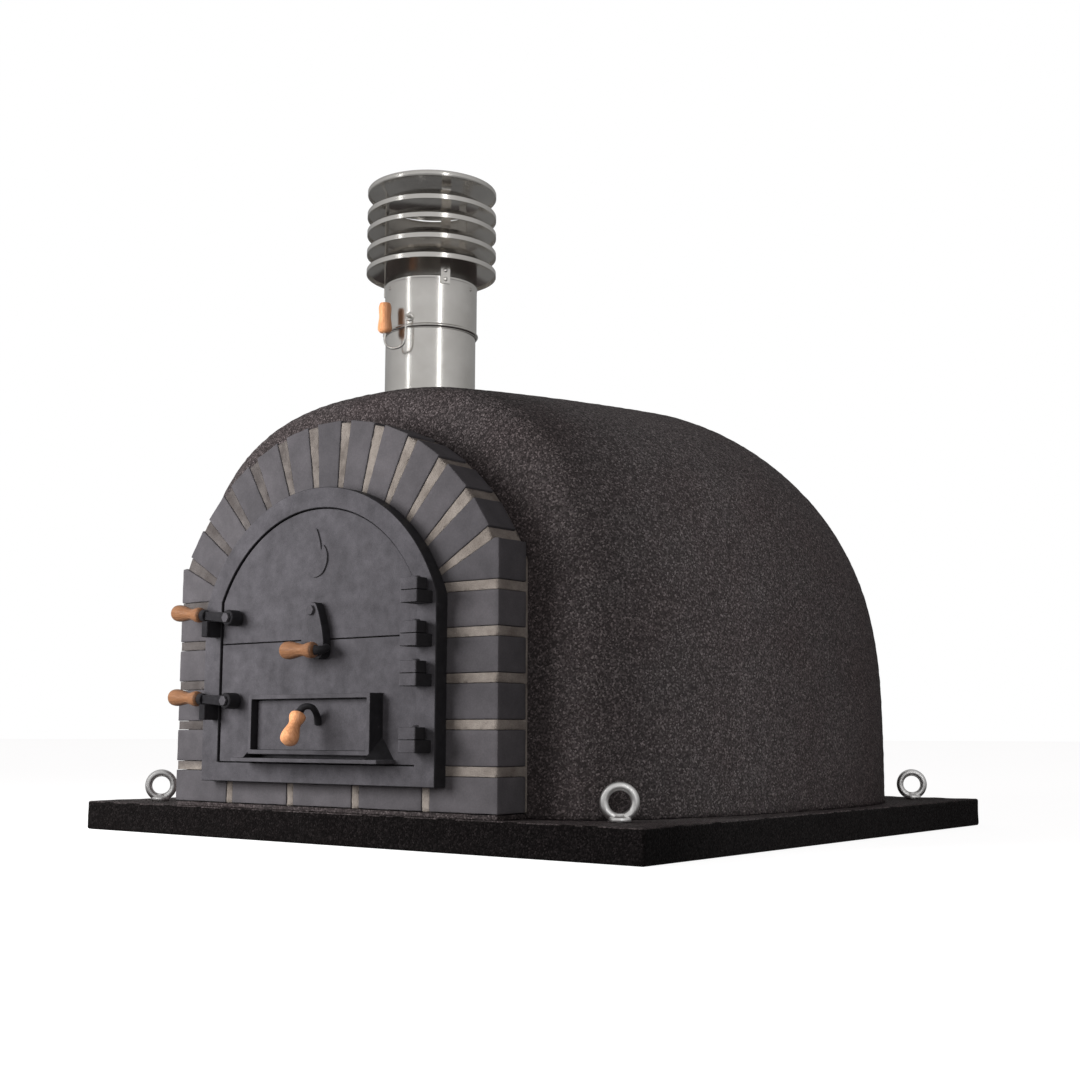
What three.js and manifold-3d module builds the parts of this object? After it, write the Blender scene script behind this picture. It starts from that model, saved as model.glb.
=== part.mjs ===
// A wood fired pizza oven: a rendered refractory dome on a slab, with a brick arch and a split
// cast iron door at the front and a stainless steel flue on top.
// Millimetres, +Z up, the front faces -Y. The origin is the middle of the slab's underside.
import * as THREE from "three";
import { ConvexGeometry } from "three/addons/geometries/ConvexGeometry.js";
import { mergeVertices } from "three/addons/utils/BufferGeometryUtils.js";
import Module from "manifold-3d";

const wasm = await Module();
wasm.setup();

// ---- driving dimensions ----

const GAP = 0.3; // between pieces that touch

// Slab.
const SLAB_W = 1150;
const SLAB_D = 1104;
const SLAB_H = 48;
const BED_H = 7; // bed under the brick face

// Lifting eyebolts.
const EYE_RING_R = 21; // centre line of the ring
const EYE_WIRE_R = 6;
const EYE_CENTRE_H = 26; // ring centre above the slab
const EYE_COLLAR_R = 15;
const EYE_COLLAR_H = 8;
const EYE_SHANK_R = 6;
const EYE_SHANK_L = 30;
const EYE_INSET_X = 93.5;
const EYE_INSET_Y = 82.5;

// Outer shell, a rounded loaf with its widest section near the middle.
const SHELL_FRONT = -485;
const SHELL_BACK = 511;
const SHELL_FRONT_HALF_W = 366;
const SHELL_HALF_W = 542;
const SHELL_WIDEST_Y = 54;
const SHELL_FRONT_H = 651;
const SHELL_H = 687;
const SHELL_HIGHEST_Y = -39;
const SHELL_SHOULDER = 34; // rounding of the front edge
const SHELL_SECTION_WIDTH_POWER = 2.49;
const SHELL_SECTION_HEIGHT_POWER = 4.44;
const SHELL_FRONT_PLAN_POWER = 2.2;
const SHELL_BACK_PLAN_POWER = 2.82;
const SHELL_BACK_RISE_POWER = 2.03;
const RENDER_T = 14;

// Refractory dome, entrance throat and hearth.
const DOME_CENTRE = [0, 60, 98];
const DOME_OUTER = [475, 392, 475];
const DOME_WALL = 55;
const HEARTH_TOP = 120;
const HEARTH_CLEARANCE = 13; // round the hearth, inside the dome
const THROAT_WALL = 50;
const THROAT_BACK = -100;

// Brick face.
const FACE_Y = -552;
const BRICK_D = 64;
const FACE_HALF_W = 339;
const ARCH_Z = 270.6; // centre of every arch
const FACE_R = 368;
const BRICK_IN_HALF_W = 222;
const BRICK_IN_R = 238;
const COURSE_PITCH = 64.1;
const FIRST_JOINT_Z = 112;
const JOINT_T = 14;
const VOUSSOIR_STEP = 11.32; // degrees
const VOUSSOIRS = 11;
const SIDE_COURSES = 4;
const BOTTOM_BRICKS = 5;
const MORTAR_RECESS = 2;

// Door frame and leaves.
const FRAME_FRONT = FACE_Y - 24.5;
const FRAME_HALF_W = 246.7;
const FRAME_R = 262;
const FRAME_BOTTOM = 89.6;
const LEAF_FRONT = FRAME_FRONT + 3.5;
const LEAF_T = 10;
const LEAF_HALF_W = 207.3;
const LEAF_R = 229.1;
const LEAF_BOTTOM = 120.3;
const SPLIT_Z = 302.1;
const LEAF_GAP = 1.2;
const MOUTH_HALF_W = 193;
const MOUTH_R = 214;
const MOUTH_BOTTOM = 134;
const SLEEVE_HALF_W = 218;
const SLEEVE_R = 234;
const SLEEVE_BOTTOM = 110;
const SLEEVE_BACK = -500;

// Hinges: one vertical axis for both leaves.
const HINGE_X = 224;
const HINGE_Y = FRAME_FRONT - 17.5;
const HINGE_BOTTOMS = { lower_a: 137.4, lower_b: 228.8, upper_a: 284, upper_b: 344.5 };
const LUG_H = 17.5;
const KNUCKLE_H = 17.5;
const HINGE_HALF = 16;
const KNUCKLE_INNER_X = 182;
const PIN_R = 4;
const KNUCKLE_FOOT_END = 199;

// Side latches.
const LATCH_X = -168;
const LATCH_Y = -592;
const LATCHES = {
  upper: { z: 341.5, tilt: 6, ledgeTop: 338, ledgeBottom: 313 },
  lower: { z: 213.2, tilt: 3, ledgeTop: 208, ledgeBottom: 184 },
};
const KEEPER_X0 = -223.5;
const KEEPER_X1 = -209.5;
const KEEPER_FRONT = -604;
const LATCH_ARM = 70;
const LEVER_T = 8;
const LEVER_H = 13;
const BOSS_R = 12.5;
const BOLT_R = 4;
const BOLT_HEAD_R = 8;

// Middle latch.
const MIDDLE = { x: 10, z: 345 };

// Air flap in the lower leaf.
const FLAP_BOX = { x0: -112, x1: 144, z0: 132.5, z1: 221 };
const FLAP_BOX_WALL = 7;
const FLAP_BOX_FRONT = -600;
const FLAP_SEAT_Y = -582.4;
const FLAP_T = 5;
const PIVOT_R = 2.5;
const FLAP_AXIS_Z = 144;
const FLAP_AXIS_Y = FLAP_SEAT_Y - 3.1;
const FLAP_GAP = 1.2;
const VENT = { x0: -97, x1: 129, z0: 148, z1: 206 };
const SHELF_FRONT = -611;
const SHELF_TOP = 127;
const FIN_REACH = 25;
const FIN_TOP = 161;

// Wooden grips.
const GRIP_L = 68;
const TANG_R = 4;
const TANG_L = 30;

// Flue.
const FLUE_Y = -323.4;
const PIPE_R = 75;
const PIPE_SIDES = 24;
const PIPE_WALL = 1.5;
const PIPE_BOTTOM = 505;
const PIPE_TOP = 862;
const UPPER_PIPE_R = 76.8;
const UPPER_PIPE_BOTTOM = 818;
const UPPER_PIPE_TOP = 958;
const DAMPER_Z = 836;
const DAMPER_TURN = 15.9; // degrees from the front
const DAMPER_R = 70;
const SPINDLE_R = 3;
const DISC_T = 2;

// Cowl.
const COWL_R = 108.5;
const COWL_SIDES = 24;
const COWL_IN_R = 79;
const RIM_LEVELS = [935, 968, 1002, 1033];
const CAP_LEVEL = 1072;
const LIP_H = 9;
const SHEET_T = 1.5;
const STRAP_ANGLES = [-151, -31, 89];
const STRAP_W = 16;
const STRAP_T = 3;
const STRAP_BOTTOM = 892;

// ---- materials ----

function paint(color, roughness, metalness) {
  return { color, roughness, metalness };
}

const LOOKS = {
  render: paint(0x1d1b1b, 0.85, 0.05),
  brick: paint(0x5c5e68, 0.8, 0.0),
  mortar: paint(0x9a9288, 0.95, 0.0),
  firebrick: paint(0xb79a72, 0.95, 0.0),
  wool: paint(0xd9d6cf, 1.0, 0.0),
  iron: paint(0x232326, 0.6, 0.7),
  steel: paint(0xc8c6c2, 0.25, 1.0),
  zinc: paint(0xd8d8d8, 0.25, 1.0),
  wood: paint(0xc78a55, 0.55, 0.0),
};

// ---- solids ----

// A closed geometry as a solid, turned the right way out.
function solid(geometry) {
  const bare = new THREE.BufferGeometry();
  const source = geometry.index ? geometry.toNonIndexed() : geometry;
  bare.setAttribute("position", source.getAttribute("position"));
  const merged = mergeVertices(bare, 1e-3);
  const triVerts = new Uint32Array(merged.index.array);
  const vertProperties = merged.attributes.position.array;
  const made = new wasm.Manifold(new wasm.Mesh({ numProp: 3, vertProperties, triVerts }));
  if (made.volume() > 0) return made;
  for (let i = 0; i < triVerts.length; i += 3) {
    [triVerts[i + 1], triVerts[i + 2]] = [triVerts[i + 2], triVerts[i + 1]];
  }
  return new wasm.Manifold(new wasm.Mesh({ numProp: 3, vertProperties, triVerts }));
}

function geometryOf(body) {
  const mesh = body.getMesh();
  const geometry = new THREE.BufferGeometry();
  const positions = new Float32Array(mesh.numVert * 3);
  for (let i = 0; i < mesh.numVert; i++) {
    positions.set(mesh.vertProperties.subarray(i * mesh.numProp, i * mesh.numProp + 3), i * 3);
  }
  geometry.setAttribute("position", new THREE.BufferAttribute(positions, 3));
  geometry.setIndex(new THREE.BufferAttribute(mesh.triVerts, 1));
  geometry.computeVertexNormals();
  return geometry;
}

function join(...bodies) {
  return bodies.reduce((whole, body) => whole.add(body));
}

function cut(body, ...tools) {
  return tools.reduce((rest, tool) => rest.subtract(tool), body);
}

// A box between two corners.
function box(x0, x1, y0, y1, z0, z1) {
  const geometry = new THREE.BoxGeometry(x1 - x0, y1 - y0, z1 - z0);
  geometry.translate((x0 + x1) / 2, (y0 + y1) / 2, (z0 + z1) / 2);
  return solid(geometry);
}

function shapeOf(points) {
  return new THREE.Shape(points.map(([a, b]) => new THREE.Vector2(a, b)));
}

// An outline in X and Z, filled between two Y planes.
function plateXZ(points, y0, y1) {
  const geometry = new THREE.ExtrudeGeometry(shapeOf(points), { depth: y1 - y0, bevelEnabled: false });
  geometry.rotateX(Math.PI / 2);
  geometry.translate(0, y1, 0);
  return solid(geometry);
}

// An outline in X and Y, filled between two heights.
function plateXY(points, z0, z1) {
  const geometry = new THREE.ExtrudeGeometry(shapeOf(points), { depth: z1 - z0, bevelEnabled: false });
  geometry.translate(0, 0, z0);
  return solid(geometry);
}

// A profile of [radius, height] pairs turned about the Z axis.
function turned(profile, sides) {
  const points = profile.map(([r, z]) => new THREE.Vector2(r, z));
  const geometry = new THREE.LatheGeometry(points, sides);
  geometry.rotateX(Math.PI / 2);
  return geometry;
}

// A cylinder between two points.
function rod(from, to, radius, sides) {
  const a = new THREE.Vector3(...from);
  const b = new THREE.Vector3(...to);
  const along = b.clone().sub(a);
  const geometry = new THREE.CylinderGeometry(radius, radius, along.length(), sides);
  const up = new THREE.Vector3(0, 1, 0);
  geometry.applyQuaternion(new THREE.Quaternion().setFromUnitVectors(up, along.clone().normalize()));
  geometry.translate(...a.add(b).multiplyScalar(0.5).toArray());
  return solid(geometry);
}

// A round bar along a smooth path.
function bar(path, radius, sides, steps) {
  const curve = new THREE.CatmullRomCurve3(path.map((p) => new THREE.Vector3(...p)), false, "centripetal");
  const ring = [];
  for (let i = 0; i < sides; i++) {
    const a = (2 * Math.PI * i) / sides;
    ring.push([radius * Math.cos(a), radius * Math.sin(a)]);
  }
  return solid(new THREE.ExtrudeGeometry(shapeOf(ring), { steps, extrudePath: curve, bevelEnabled: false }));
}

// An upright-sided outline closed by an arc, in X and Z.
function archOutline(halfWidth, bottom, radius, steps) {
  const spring = Math.acos(Math.min(1, halfWidth / radius));
  const points = [[-halfWidth, bottom], [halfWidth, bottom]];
  for (let i = 0; i <= steps; i++) {
    const a = spring + ((Math.PI - 2 * spring) * i) / steps;
    points.push([radius * Math.cos(a), ARCH_Z + radius * Math.sin(a)]);
  }
  return points;
}

// ---- the scene ----

const oven = new THREE.Group();
oven.name = "pizza_oven";

function add(name, body, look) {
  const material = new THREE.MeshStandardMaterial(LOOKS[look]);
  const geometry = body.isBufferGeometry ? body : geometryOf(body);
  const mesh = new THREE.Mesh(geometry, material);
  mesh.name = name;
  oven.add(mesh);
  return mesh;
}

// ---- slab and eyebolts ----

function eyeboltPlaces() {
  const x = SLAB_W / 2 - EYE_INSET_X;
  const y = SLAB_D / 2 - EYE_INSET_Y;
  return {
    front_left: [-x, -y, 48],
    front_right: [x, -y, 38],
    back_left: [-x, y, 44],
    back_right: [x, y, 30],
  };
}

function slab() {
  const half = SLAB_W / 2;
  const deep = SLAB_D / 2;
  const body = box(-half, half, -deep, deep, 0, SLAB_H);
  const bed = box(-FACE_HALF_W + 2, FACE_HALF_W - 2, FACE_Y + 2, SHELL_FRONT - 1, SLAB_H - 1, SLAB_H + BED_H);
  const holes = Object.values(eyeboltPlaces()).map(([x, y]) =>
    rod([x, y, SLAB_H - EYE_SHANK_L - 1], [x, y, SLAB_H + 1], EYE_SHANK_R + 0.5, 12),
  );
  return cut(join(body, bed), ...holes);
}

function eyebolt([x, y, turn]) {
  const ring = new THREE.TorusGeometry(EYE_RING_R, EYE_WIRE_R, 6, 16);
  ring.rotateX(Math.PI / 2);
  ring.translate(0, 0, EYE_CENTRE_H);
  const collar = rod([0, 0, GAP], [0, 0, EYE_COLLAR_H], EYE_COLLAR_R, 12);
  const shank = rod([0, 0, -EYE_SHANK_L], [0, 0, EYE_COLLAR_H - 1], EYE_SHANK_R, 8);
  const geometry = geometryOf(join(solid(ring), collar, shank));
  geometry.rotateZ((turn * Math.PI) / 180);
  geometry.translate(x, y, SLAB_H);
  return geometry;
}

// ---- outer shell ----

// One side of a superellipse: 1 at t = 0, falling to 0 at t = 1.
function falloff(t, power) {
  return Math.pow(Math.max(0, 1 - Math.pow(t, power)), 1 / power);
}

function shellHalfWidth(y) {
  if (y > SHELL_WIDEST_Y) {
    const t = (y - SHELL_WIDEST_Y) / (SHELL_BACK - SHELL_WIDEST_Y);
    return SHELL_HALF_W * falloff(t, SHELL_BACK_PLAN_POWER);
  }
  const t = (SHELL_WIDEST_Y - y) / (SHELL_WIDEST_Y - SHELL_FRONT);
  return SHELL_FRONT_HALF_W + (SHELL_HALF_W - SHELL_FRONT_HALF_W) * falloff(t, SHELL_FRONT_PLAN_POWER);
}

function shellHeight(y) {
  if (y > SHELL_HIGHEST_Y) {
    const t = (y - SHELL_HIGHEST_Y) / (SHELL_BACK - SHELL_HIGHEST_Y);
    return SHELL_H * falloff(t, SHELL_BACK_RISE_POWER);
  }
  const t = (SHELL_HIGHEST_Y - y) / (SHELL_HIGHEST_Y - SHELL_FRONT);
  return SHELL_H - (SHELL_H - SHELL_FRONT_H) * t;
}

// How far the rounded front edge draws the section in.
function shoulder(y) {
  const d = Math.min(SHELL_SHOULDER, y - SHELL_FRONT);
  const rest = SHELL_SHOULDER - d;
  return SHELL_SHOULDER - Math.sqrt(SHELL_SHOULDER ** 2 - rest ** 2);
}

// The loaf, drawn in everywhere by inset and cut flat at the given bottom.
function loaf(inset, bottom) {
  const across = 22;
  const fractions = [0, 0.004, 0.014, 0.034, 0.09, 0.18, 0.3, 0.44, 0.58, 0.7, 0.8, 0.88, 0.94, 0.98];
  const rings = fractions.map((fraction) => {
    const y = SHELL_FRONT + (SHELL_BACK - SHELL_FRONT) * fraction;
    const halfWidth = Math.max(20, shellHalfWidth(y) - shoulder(y) - inset);
    const height = Math.max(20, shellHeight(y) - shoulder(y) - inset);
    const squeezed = SHELL_FRONT + inset + (SHELL_BACK - SHELL_FRONT - 2 * inset) * fraction;
    const ring = [];
    for (let i = 0; i <= across; i++) {
      const a = (Math.PI * i) / across;
      const side = Math.sign(Math.cos(a)) * Math.pow(Math.abs(Math.cos(a)), 2 / SHELL_SECTION_WIDTH_POWER);
      const rise = Math.pow(Math.max(0, Math.sin(a)), 2 / SHELL_SECTION_HEIGHT_POWER);
      const z = i === 0 || i === across ? bottom : Math.max(bottom + 2, SLAB_H + height * rise);
      ring.push([halfWidth * (i * 2 === across ? 0 : side), squeezed, z]);
    }
    return ring;
  });
  return skinned(rings);
}

// A closed solid through rings of equal length, capped flat at both ends.
function skinned(rings) {
  const positions = [];
  const n = rings[0].length;
  const triangle = (a, b, c) => positions.push(...a, ...b, ...c);
  for (let r = 0; r + 1 < rings.length; r++) {
    for (let i = 0; i < n; i++) {
      const j = (i + 1) % n;
      triangle(rings[r][i], rings[r + 1][i], rings[r + 1][j]);
      triangle(rings[r][i], rings[r + 1][j], rings[r][j]);
    }
  }
  const first = rings[0];
  const last = rings[rings.length - 1];
  for (let i = 1; i + 1 < n; i++) {
    triangle(first[0], first[i], first[i + 1]);
    triangle(last[0], last[i + 1], last[i]);
  }
  const geometry = new THREE.BufferGeometry();
  geometry.setAttribute("position", new THREE.BufferAttribute(new Float32Array(positions), 3));
  return solid(geometry);
}

// ---- dome, throat and hearth ----

function ellipsoid(grow) {
  const geometry = new THREE.SphereGeometry(1, 26, 14);
  geometry.rotateX(Math.PI / 2);
  geometry.scale(DOME_OUTER[0] + grow, DOME_OUTER[1] + grow, DOME_OUTER[2] + grow);
  geometry.translate(...DOME_CENTRE);
  return solid(geometry);
}

function underSlab() {
  return box(-SLAB_W, SLAB_W, -SLAB_D, SLAB_D, -SLAB_W, SLAB_H + GAP);
}

function mouthPrism(y0, y1) {
  return plateXZ(archOutline(MOUTH_HALF_W, SLAB_H - 10, MOUTH_R, 14), y0, y1);
}

function throatPrism(grow) {
  const wall = THROAT_WALL + grow;
  const overrun = grow > 0 ? 6 : 0;
  const outline = archOutline(MOUTH_HALF_W + wall, SLAB_H + GAP - overrun, MOUTH_R + wall, 14);
  return plateXZ(outline, SHELL_FRONT + GAP - overrun, THROAT_BACK);
}

function flueBore(grow) {
  return rod([0, FLUE_Y, 300], [0, FLUE_Y, 900], PIPE_R + grow, PIPE_SIDES);
}

function hearth() {
  const floorHalf = MOUTH_HALF_W - GAP - 1;
  const tongue = box(-floorHalf, floorHalf, SHELL_FRONT + 1, DOME_CENTRE[1], SLAB_H + GAP, HEARTH_TOP);
  const points = [];
  for (let i = 0; i < 28; i++) {
    const a = (2 * Math.PI * i) / 28;
    const x = (DOME_OUTER[0] - DOME_WALL - HEARTH_CLEARANCE) * Math.cos(a);
    const y = DOME_CENTRE[1] + (DOME_OUTER[1] - DOME_WALL - HEARTH_CLEARANCE) * Math.sin(a);
    points.push([x, y]);
  }
  return join(tongue, plateXY(points, SLAB_H + GAP, HEARTH_TOP));
}

// ---- brick face ----

function voussoirAngle(index) {
  return 90 + ((VOUSSOIRS / 2 - index) * VOUSSOIR_STEP);
}

function polar(radius, degrees) {
  const a = (degrees * Math.PI) / 180;
  return [radius * Math.cos(a), ARCH_Z + radius * Math.sin(a)];
}

// The outlines of every brick of the face, by name.
function brickOutlines() {
  const outlines = {};
  const innerJoint = 1.0; // degrees taken from each side of a wedge at its inner end
  const outerJoint = 1.65;
  for (let i = 0; i < VOUSSOIRS; i++) {
    const a = voussoirAngle(i);
    const b = voussoirAngle(i + 1);
    outlines[`brick_arch_${String(i + 1).padStart(2, "0")}`] = [
      polar(BRICK_IN_R, b + innerJoint),
      polar(FACE_R, b + outerJoint),
      polar(FACE_R, a - outerJoint),
      polar(BRICK_IN_R, a - innerJoint),
    ];
  }
  const half = JOINT_T / 2;
  for (let k = 0; k < SIDE_COURSES; k++) {
    const z0 = FIRST_JOINT_Z + COURSE_PITCH * k + half;
    const z1 = FIRST_JOINT_Z + COURSE_PITCH * (k + 1) - half;
    for (const [side, sign] of [["left", -1], ["right", 1]]) {
      outlines[`brick_${side}_${k + 1}`] = [
        [sign * BRICK_IN_HALF_W, z0],
        [sign * FACE_HALF_W, z0],
        [sign * FACE_HALF_W, z1],
        [sign * BRICK_IN_HALF_W, z1],
      ];
    }
  }
  // The springer is a wedge between the last bed joint and the first radial joint.
  const z0 = FIRST_JOINT_Z + COURSE_PITCH * SIDE_COURSES + half;
  const lowest = voussoirAngle(VOUSSOIRS);
  const inner = polar(BRICK_IN_R, lowest - innerJoint);
  const outer = polar(FACE_R, lowest - outerJoint);
  for (const [side, sign] of [["left", -1], ["right", 1]]) {
    outlines[`brick_${side}_${SIDE_COURSES + 1}`] = [
      [sign * BRICK_IN_HALF_W, z0],
      [sign * FACE_HALF_W, z0],
      [sign * FACE_HALF_W, outer[1]],
      [sign * outer[0], outer[1] + 1],
      [sign * inner[0], inner[1]],
    ];
  }
  const width = (2 * FACE_HALF_W + JOINT_T) / BOTTOM_BRICKS;
  for (let i = 0; i < BOTTOM_BRICKS; i++) {
    const x0 = -FACE_HALF_W + width * i;
    const x1 = x0 + width - JOINT_T;
    const bottom = SLAB_H + BED_H + GAP;
    const top = FIRST_JOINT_Z - half;
    outlines[`brick_bottom_${i + 1}`] = [[x0, bottom], [x1, bottom], [x1, top], [x0, top]];
  }
  return outlines;
}

function mortar(outlines) {
  const bottom = SLAB_H + BED_H + GAP;
  const outer = archOutline(FACE_HALF_W - MORTAR_RECESS, bottom, FACE_R - MORTAR_RECESS - 2, 22);
  const inner = archOutline(BRICK_IN_HALF_W + 1, SLEEVE_BOTTOM - 1, BRICK_IN_R + 1, 14);
  const panel = plateXZ(outer, FACE_Y + MORTAR_RECESS, SHELL_FRONT - GAP);
  const opening = plateXZ(inner, FACE_Y - 1, SHELL_FRONT + 1);
  const pockets = Object.values(outlines).map((outline) =>
    plateXZ(grown(outline, GAP), FACE_Y - 1, FACE_Y + BRICK_D - 2 + GAP),
  );
  return cut(panel, opening, ...pockets);
}

// A convex outline with every edge pushed out by the given amount.
function grown(points, amount) {
  const n = points.length;
  const area = points.reduce((sum, [x, z], i) => {
    const [nextX, nextZ] = points[(i + 1) % n];
    return sum + x * nextZ - nextX * z;
  }, 0);
  const outward = Math.sign(area);
  const edges = points.map(([x, z], i) => {
    const [nextX, nextZ] = points[(i + 1) % n];
    const length = Math.hypot(nextX - x, nextZ - z);
    const normal = [(outward * (nextZ - z)) / length, (outward * (x - nextX)) / length];
    return { normal, reach: normal[0] * x + normal[1] * z + amount };
  });
  return edges.map((edge, i) => {
    const before = edges[(i + n - 1) % n];
    const cross = before.normal[0] * edge.normal[1] - before.normal[1] * edge.normal[0];
    const x = (before.reach * edge.normal[1] - edge.reach * before.normal[1]) / cross;
    const z = (before.normal[0] * edge.reach - edge.normal[0] * before.reach) / cross;
    return [x, z];
  });
}

// ---- door frame ----

function doorFrame() {
  const flange = plateXZ(archOutline(FRAME_HALF_W, FRAME_BOTTOM, FRAME_R, 20), FRAME_FRONT, FACE_Y - GAP);
  const sleeve = plateXZ(archOutline(SLEEVE_HALF_W, SLEEVE_BOTTOM, SLEEVE_R, 18), FACE_Y - 2, SLEEVE_BACK);
  const pocket = plateXZ(
    archOutline(LEAF_HALF_W + LEAF_GAP, LEAF_BOTTOM - LEAF_GAP, LEAF_R + LEAF_GAP, 18),
    FRAME_FRONT - 1,
    LEAF_FRONT + LEAF_T + 0.7,
  );
  const mouthOutline = archOutline(MOUTH_HALF_W, MOUTH_BOTTOM, MOUTH_R, 16);
  const mouth = plateXZ(mouthOutline, FRAME_FRONT - 1, SLEEVE_BACK + 1);
  const lugs = Object.values(HINGE_BOTTOMS).map((z) => lug(z));
  const keepers = Object.values(LATCHES).map((latch) => keeper(latch));
  const bores = Object.values(HINGE_BOTTOMS).map((z) =>
    rod([HINGE_X, HINGE_Y, z + 3], [HINGE_X, HINGE_Y, z + LUG_H + 1], PIN_R + 0.35, 12),
  );
  return cut(join(cut(join(flange, sleeve), pocket, mouth), ...lugs, ...keepers), ...bores);
}

// A square hinge lug on the frame's right side.
function lug(z) {
  return box(HINGE_X - HINGE_HALF, HINGE_X + HINGE_HALF, HINGE_Y - HINGE_HALF, FRAME_FRONT + 1, z, z + LUG_H);
}

// A keeper: a plain block on the frame that the lever drops on.
function keeper({ ledgeTop, ledgeBottom }) {
  return box(KEEPER_X0, KEEPER_X1, KEEPER_FRONT, FRAME_FRONT + 1, ledgeBottom, ledgeTop);
}

// ---- leaves ----

function leafPlate(z0, z1) {
  const whole = plateXZ(archOutline(LEAF_HALF_W, LEAF_BOTTOM, LEAF_R, 18), LEAF_FRONT, LEAF_FRONT + LEAF_T);
  const band = box(-LEAF_HALF_W - 1, LEAF_HALF_W + 1, LEAF_FRONT - 1, LEAF_FRONT + LEAF_T + 1, z0, z1);
  return whole.intersect(band);
}

// A square knuckle, rounded where it turns past the frame, with its arm and foot on the leaf.
function knuckle(bottom) {
  const z0 = bottom + LUG_H + 0.5;
  const z1 = z0 + KNUCKLE_H;
  const outline = [[-HINGE_HALF, HINGE_HALF], [-HINGE_HALF, -HINGE_HALF], [HINGE_HALF, -HINGE_HALF]];
  for (let degrees = 0; degrees <= 90; degrees += 15) {
    const a = (degrees * Math.PI) / 180;
    outline.push([HINGE_HALF * Math.cos(a), HINGE_HALF * Math.sin(a)]);
  }
  const block = plateXY(outline.map(([x, y]) => [HINGE_X + x, HINGE_Y + y]), z0, z1);
  const arm = box(KNUCKLE_INNER_X, HINGE_X - 2, HINGE_Y + 2, FRAME_FRONT - 1, z0, z1);
  const foot = box(KNUCKLE_INNER_X, KNUCKLE_FOOT_END, FRAME_FRONT - 2, LEAF_FRONT + 1, z0, z1);
  return join(block, arm, foot);
}

function knuckleBore(bottom) {
  const z0 = bottom + LUG_H;
  return rod([HINGE_X, HINGE_Y, z0 - 1], [HINGE_X, HINGE_Y, z0 + KNUCKLE_H + 3], PIN_R + 0.6, 12);
}

function hingePin(bottom) {
  const top = bottom + LUG_H + 0.5 + KNUCKLE_H;
  const shaft = rod([HINGE_X, HINGE_Y, bottom + 3.4], [HINGE_X, HINGE_Y, top + 1], PIN_R, 12);
  const head = rod([HINGE_X, HINGE_Y, top + 0.5], [HINGE_X, HINGE_Y, top + 3], PIN_R + 2.5, 12);
  return join(shaft, head);
}

// A flame in low relief.
function flameOutline() {
  const x = 0;
  const z = 430;
  const right = [[0, -34], [16, -28], [25, -12], [24, 4], [16, 14], [13, 6], [9, 22], [0, 40]];
  const left = [[-9, 24], [-17, 8], [-25, -4], [-24, -18], [-13, -30]];
  return [...right, ...left].map(([a, b]) => [x + a, z + b]);
}

function boltHole(x, z) {
  return rod([x, LEAF_FRONT - 3, z], [x, LEAF_FRONT + LEAF_T + 1, z], BOLT_R + 0.4, 12);
}

function upperLeaf() {
  const plate = leafPlate(SPLIT_Z + LEAF_GAP / 2, 600);
  const relief = plateXZ(flameOutline(), LEAF_FRONT - 2.5, LEAF_FRONT + 1);
  const { upper_a, upper_b } = HINGE_BOTTOMS;
  const body = join(plate, relief, knuckle(upper_a), knuckle(upper_b));
  return cut(
    body,
    knuckleBore(upper_a),
    knuckleBore(upper_b),
    boltHole(LATCH_X, LATCHES.upper.z),
    boltHole(MIDDLE.x, MIDDLE.z),
  );
}

function lowerLeaf() {
  const { x0, x1, z0, z1 } = FLAP_BOX;
  const w = FLAP_BOX_WALL;
  const plate = leafPlate(0, SPLIT_Z - LEAF_GAP / 2);
  const shelf = box(x0 - FIN_REACH, x1 + FIN_REACH, SHELF_FRONT, LEAF_FRONT + 1, LEAF_BOTTOM + 1, SHELF_TOP);
  const housing = box(x0, x1, FLAP_BOX_FRONT, LEAF_FRONT + 1, z0, z1);
  const recess = box(x0 + w, x1 - w, FLAP_BOX_FRONT - 1, FLAP_SEAT_Y, z0 + w, z1 - w);
  const vent = box(VENT.x0, VENT.x1, FLAP_SEAT_Y - 1, LEAF_FRONT + LEAF_T + 1, VENT.z0, VENT.z1);
  const fins = [fin(x0 + 1, -FIN_REACH), fin(x1 - 1, FIN_REACH)];
  const [socket0, socket1] = [x0 + 1, x1 - 1].map((x) => [x, FLAP_AXIS_Y, FLAP_AXIS_Z]);
  const sockets = rod(socket0, socket1, PIVOT_R + 1, 12);
  const { lower_a, lower_b } = HINGE_BOTTOMS;
  const bores = [knuckleBore(lower_a), knuckleBore(lower_b), boltHole(LATCH_X, LATCHES.lower.z)];
  const body = join(plate, shelf, housing, ...fins, knuckle(lower_a), knuckle(lower_b));
  return cut(body, recess, vent, sockets, ...bores);
}

// A three-sided fin that stands on the shelf against one end of the housing.
function fin(x, reach) {
  const back = LEAF_FRONT + 1;
  const points = [
    [x, back, FIN_TOP],
    [x, SHELF_FRONT, SHELF_TOP - 1],
    [x + reach, back, SHELF_TOP - 1],
    [x, back, SHELF_TOP - 1],
  ];
  const vertices = points.map((point) => new THREE.Vector3(...point));
  return solid(new ConvexGeometry(vertices));
}

// ---- wooden grips ----

const GRIP_PROFILE = [
  [0, 0],
  [8.5, 0],
  [12, 4],
  [12, 11],
  [9.4, 20],
  [9.2, 26],
  [11.8, 40],
  [13.4, 52],
  [12.6, 61],
  [8, 67],
  [0, GRIP_L],
];

// A turned grip from a point along a direction, bored for its tang.
function grip(from, along, length) {
  const scale = length / GRIP_L;
  const geometry = turned(GRIP_PROFILE.map(([r, z]) => [r, z * scale]), 12);
  const body = cut(solid(geometry), rod([0, 0, -1], [0, 0, TANG_L * scale + 1], TANG_R + 0.4, 10));
  return placed(body, from, along);
}

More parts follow.
